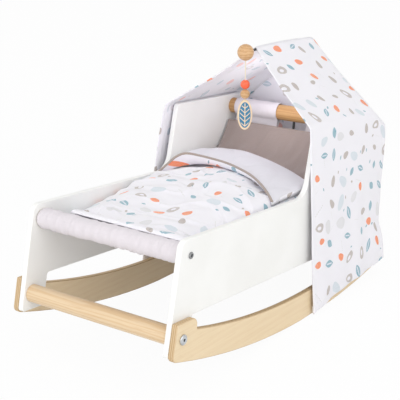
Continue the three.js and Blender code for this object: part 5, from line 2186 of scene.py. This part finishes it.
@dataclass
class Canopy(Assembly):
    """Printed cloth over the ridge and down both sides, with a curtain behind.

    The corner knots give, for heights z, the distance from the middle and the y of the rear corner
    where drape and curtain meet.
    """

    rod: CanopyRod
    cloth: float = 0.8
    solid_cloth: float = 1.2
    ridge_gap: float = 0.5
    ridge_end_fall: float = 6.0
    front_behind_ball: float = 28.0
    hem_ahead: float = 24.0
    hem_fall_back_degrees: float = 4.7
    left_ahead: float = 8.0
    left_swing: float = 26.0
    left_flare: float = 9.0
    flare: float = 3.0
    eave_round: float = 5.0
    roof_sag: float = 5.0
    front_lift: float = 5.5
    rear_lift: float = 39.0
    rear_eave: float = 265.0
    overhang: float = 8.0
    hem_radius: float = 0.55
    hem_rows: int = 4
    fold_depth: float = 2.2
    edge_gap: float = 1.3
    corner_knots: tuple[tuple[float, float, float], ...] = (
        (20, 142.4, 288), (40, 141.9, 285), (61, 141, 281.7), (75, 139.2, 280), (88, 135.5, 278.6),
        (105, 130.8, 278), (137, 130.6, 277.5), (165, 131.2, 275), (208, 133.4, 272), (240, 135.2, 268),
        (265, 136, 262), (300, 136, 262), (400, 136, 262),
    )

    def __post_init__(self) -> None:
        """Works out where the cloth turns down and hangs."""
        half = self.solid_cloth / 2
        self.eave_x = SIZES.panel_outer + 2 * SIZES.seat_gap + SIZES.screw_head_height + half
        self.eave_z = SIZES.tall_top + SIZES.seat_gap + half
        self.pitch = math.atan(self.rod.ridge_rise / self.eave_x)
        self.hem_x = SIZES.runner_outer + SIZES.seat_gap + SIZES.bolt_head_height + self.flare
        self.rear = self.rod.top[1] + self.overhang
        self.roof_front = SIZES.hood_edge(SIZES.tall_top) + self.front_behind_ball
        self.fine_corner = spline(self.corner_knots, 300)

    def front_edge(self, z: Any, side: int) -> Any:
        """Front edge of the drape at height z, on the left or right.

        Args:
            z: height above the floor.
            side: -1 on the left, 1 on the right.

        Returns:
            The y of the edge.
        """
        start = SIZES.hood_edge(SIZES.tall_top) - self.hem_ahead
        if side > 0:
            return start + math.tan(math.radians(self.hem_fall_back_degrees)) * (SIZES.tall_top - z)
        return start + self.left_ahead - self.left_swing * np.sqrt(self.hang(z))

    def hang(self, z: Any) -> Any:
        """How far down a drape z is: 0 at the eave, 1 at the front of the hem."""
        return np.clip((self.eave_z - z) / (self.eave_z - self.front_lift), 0, 1)

    def corner(self, z: Any) -> tuple[Any, Any]:
        """Distance from the middle, and y, of the rear corner at height z.

        Args:
            z: height above the floor.

        Returns:
            The distance and the y.
        """
        knots = self.fine_corner
        return np.interp(z, knots[:, 0], knots[:, 1]), np.interp(z, knots[:, 0], knots[:, 2])

    def ridge_top(self, y: Any) -> Any:
        """Height of the cloth's middle over the ridge, which falls off where the rod bends down.

        Args:
            y: place along the ridge.

        Returns:
            The height.
        """
        past = np.clip((y - self.rod.top[1] + self.rod.top_bend / 2) / self.rod.top_bend, 0, 1)
        above = (self.rod.diameter / 2 + self.ridge_gap + self.solid_cloth / 2) / math.cos(self.pitch)
        return self.rod.axis_at(y) + above - self.ridge_end_fall * past**2

    def eave(self, v: Any) -> tuple[Any, Any]:
        """Distance from the middle, and height, of the line where the cloth turns down.

        Towards the rear it slips over the panel's round corner and hangs lower.

        Args:
            v: from front to rear, 0 to 1.

        Returns:
            The distance and the height.
        """
        late = smoothstep(v, 0.84, 1.0)
        rear_x, _ = self.corner(self.rear_eave)
        return mix(self.eave_x, rear_x, late), mix(self.eave_z, self.rear_eave, late)

    def roof(self, side: int, down: Array, v: Array) -> Array:
        """Roof at down from 0 on the ridge to 1 at the eave, and v from front to rear.

        Args:
            side: -1 on the left, 1 on the right.
            down: from 0 on the ridge to 1 at the eave.
            v: from 0 at the front to 1 at the rear.

        Returns:
            Points in level millimetres.
        """
        y = mix(mix(self.roof_front, self.front_edge(self.eave_z, side), down), self.rear, v)
        out, low = self.eave(v)
        sag = self.roof_sag * np.sin(math.pi * down) * (1 - np.sin(math.pi * v) / 2) * (1 - down)
        z = mix(self.ridge_top(y), low + self.eave_round * math.sin(self.pitch) / 2, down) - sag
        slack = 1.1 * np.sin(math.pi * down) * (waves(down * 160.0, y, 80.0, 61) - 0.6)
        return np.stack([side * (out - self.eave_round / 2) * down, y, z + slack], -1)

    def drape(self, side: int, down: Array, v: Array) -> Array:
        """Drape at down from 0 at the eave to 1 at the hem, and v from front to rear.

        It hangs straight from the eave to clear the runner's bolts, follows the rear corner
        behind, and swells outwards in four soft folds that deepen towards the hem.

        Args:
            side: -1 on the left, 1 on the right.
            down: from 0 at the eave to 1 at the hem.
            v: from 0 at the front to 1 at the rear.

        Returns:
            Points in level millimetres.
        """
        _, top = self.eave(v)
        z = mix(top - self.eave_round / 2, mix(self.front_lift, self.rear_lift, v**0.7), down)
        rear_x, rear_y = self.corner(z)
        y = mix(self.front_edge(z, side), rear_y, v)
        hang = self.hang(z)
        out = mix(mix(self.eave_x, self.hem_x, hang), rear_x, v**3)
        fold = self.fold_depth * down * (1 - np.cos(8 * math.pi * v)) / 2
        soft = 0.9 * hang * (1 + waves(y, z, 110.0, 62 + side))
        flare = 0 if side > 0 else self.left_flare * hang * (1 - v) ** 2
        return np.stack([side * (out + (fold + soft) * (1 - v**8) + flare), y, z], -1)

    def sheet(self) -> tuple[Array, Array, list[tuple[Array, Array]]]:
        """The whole cloth from the left hem over the ridge to the right hem, with its hems folded in.

        Returns:
            Rows by columns of level points, the map in millimetres measured along the cloth from
            the ridge and from the front, and the four seams with their normals to the outside.
        """
        near = np.array([0.0, 0.013, 0.026, 0.039, 0.044])
        v = np.concatenate([near, np.linspace(0.06, 0.94, 52), 1 - near[::-1]])
        down_drape = np.concatenate([np.linspace(0, 0.94, 46), 1 - 0.9 * near[::-1]])
        left, right = (
            np.concatenate(
                [
                    surface(side, *np.meshgrid(v, down, indexing="ij")[::-1])
                    for surface, down in ((self.roof, np.linspace(0, 1, 32)), (self.drape, down_drape))
                ],
                1,
            )
            for side, _ in SIDES
        )
        points = np.concatenate([left[:, :0:-1], right], 1)
        run, ridge = running_length(points, 1), left.shape[1] - 1
        uv = np.stack([run - run[:, ridge : ridge + 1], points[..., 1]], -1)
        under = grid_normals(points, (0.0, 150.0, 0.0))
        rows = self.hem_rows
        places = [np.s_[rows], np.s_[-rows - 1], np.s_[:, rows], np.s_[:, -rows - 1]]
        seams = [(points[place], -under[place]) for place in places]
        for axis in (1, 0):
            for _ in range(2):
                cloth = [np.swapaxes(a, 0, axis) for a in (points, under, uv)]
                cloth = hemmed(*cloth, rows, self.hem_radius)
                points, under, uv = (np.flip(np.swapaxes(a, 0, axis), axis) for a in cloth)
        return points, uv, seams

    def hung(self, name: str, node: str, points: Array, uv: Array) -> bpy.types.Object:
        """One printed cloth, with its reverse inside.

        Args:
            name: of the piece.
            node: CAD node that it replaces.
            points: rows by columns of level points.
            uv: their map in millimetres.

        Returns:
            The piece.
        """
        skin = self.skin(name).grid(points, uv)
        prints = [self.finishes.print, self.finishes.print_back]
        piece = skin.build("canopy", "printed_cotton", prints, node, False)
        thicken(piece, self.cloth, 1)
        return piece

    def curtain(self) -> tuple[Array, Array]:
        """Rear curtain that fills the gable under the roof and hangs behind the head end.

        It hangs plumb, lies on the panels' leaning rear edges where they stand out further, and
        keeps to the drape's rear corner at its sides.

        Returns:
            Rows by columns of level points, and the map in millimetres.
        """
        rows = np.concatenate([np.linspace(0, 0.96, 60), [0.972, 0.984, 1.0]])
        down, s = np.meshgrid(rows, np.linspace(-1, 1, 100), indexing="ij")
        behind = self.rear - 3.0
        front = mix(self.roof_front, self.front_edge(self.eave_z, 1), np.abs(s))
        roof = self.roof(1, np.abs(s), (behind - front) / (self.rear - front))
        z = mix(roof[..., 2] - (self.cloth + 0.1) / math.cos(self.pitch), self.rear_lift, down)
        corner_x, corner_y = self.corner(z)
        fold = 2.4 * (1 - np.cos(5 * math.pi * (s + 1))) / 2 + 0.8 * (1 + waves(s * 130, z, 80.0, 64))
        edge = SIZES.rear_edge(z) + self.edge_gap
        at_corner = np.maximum(corner_y - 2 * self.edge_gap, edge)
        hanging = np.minimum(np.maximum(behind - 3.0, edge), at_corner)
        y = mix(hanging, at_corner, s**6) + fold * down * (1 - s**8)
        points = np.stack([(corner_x - 0.5) * s, y, z], -1)
        return points, np.stack([points[..., 0] + 400, z], -1)

    def build(self) -> None:
        """Makes the roof with its drapes, its seams, and the curtain behind."""
        points, uv, seams = self.sheet()
        piece = self.hung("canopy_cloth_printed", "canopy_cloth", points, uv)
        thread = self.skin("canopy_stitches")
        for path, over in seams:
            thread.stitches(stitch_run(path + over * self.cloth / 2, over))
        thread.build("canopy", "printed_cotton", [self.finishes.hem])
        piece = self.hung("canopy_rear_curtain_printed", "canopy_rear_curtain", *self.curtain())


def measure_rocking() -> Rocking:
    """Reads from the frame how far the part was moved to stand over the row frame's origin.

    Returns:
        The placement for all pieces.
    """
    low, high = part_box("runner_left"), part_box("runner_right")
    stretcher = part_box("foot_stretcher")
    middle = (stretcher[0][1] + stretcher[1][1]) / 2 / MILLIMETRE
    shift_y = middle - Rocking().tipped(np.array([0.0, *SIZES.foot_stretcher]))[1]
    return Rocking(shift_x=(low[0][0] + high[1][0]) / 2 / MILLIMETRE, shift_y=float(shift_y))


def dress_kept_nodes(frame: dict[str, Any], finishes: Finishes) -> None:
    """Gives the CAD nodes that stay, the hidden inserts, their procedural finish.

    Args:
        finishes: of the part.
    """
    for name, node in frame["nodes"].items():
        if "insert" in name:
            for slot in node.material_slots:
                slot.material = finishes.zinc


def main() -> None:
    """Loads the frame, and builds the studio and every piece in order."""
    logging.basicConfig(level=logging.INFO, format="%(message)s")
    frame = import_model()
    rocking = measure_rocking()
    finishes = Finishes()
    Studio().build()
    rod = CanopyRod(finishes, rocking)
    Mobile(finishes, rocking, rod.front).build()
    rod.build()
    WoodenFrame(finishes, rocking).build()
    Fasteners(finishes, rocking).build()
    sling = Sling(finishes, rocking)
    sling.build()
    pillow = Pillow(finishes, rocking, sling)
    pillow.build()
    Duvet(finishes, rocking, sling, pillow).build()
    Canopy(finishes, rocking, rod).build()
    dress_kept_nodes(frame, finishes)


if __name__ == "__main__":
    main()
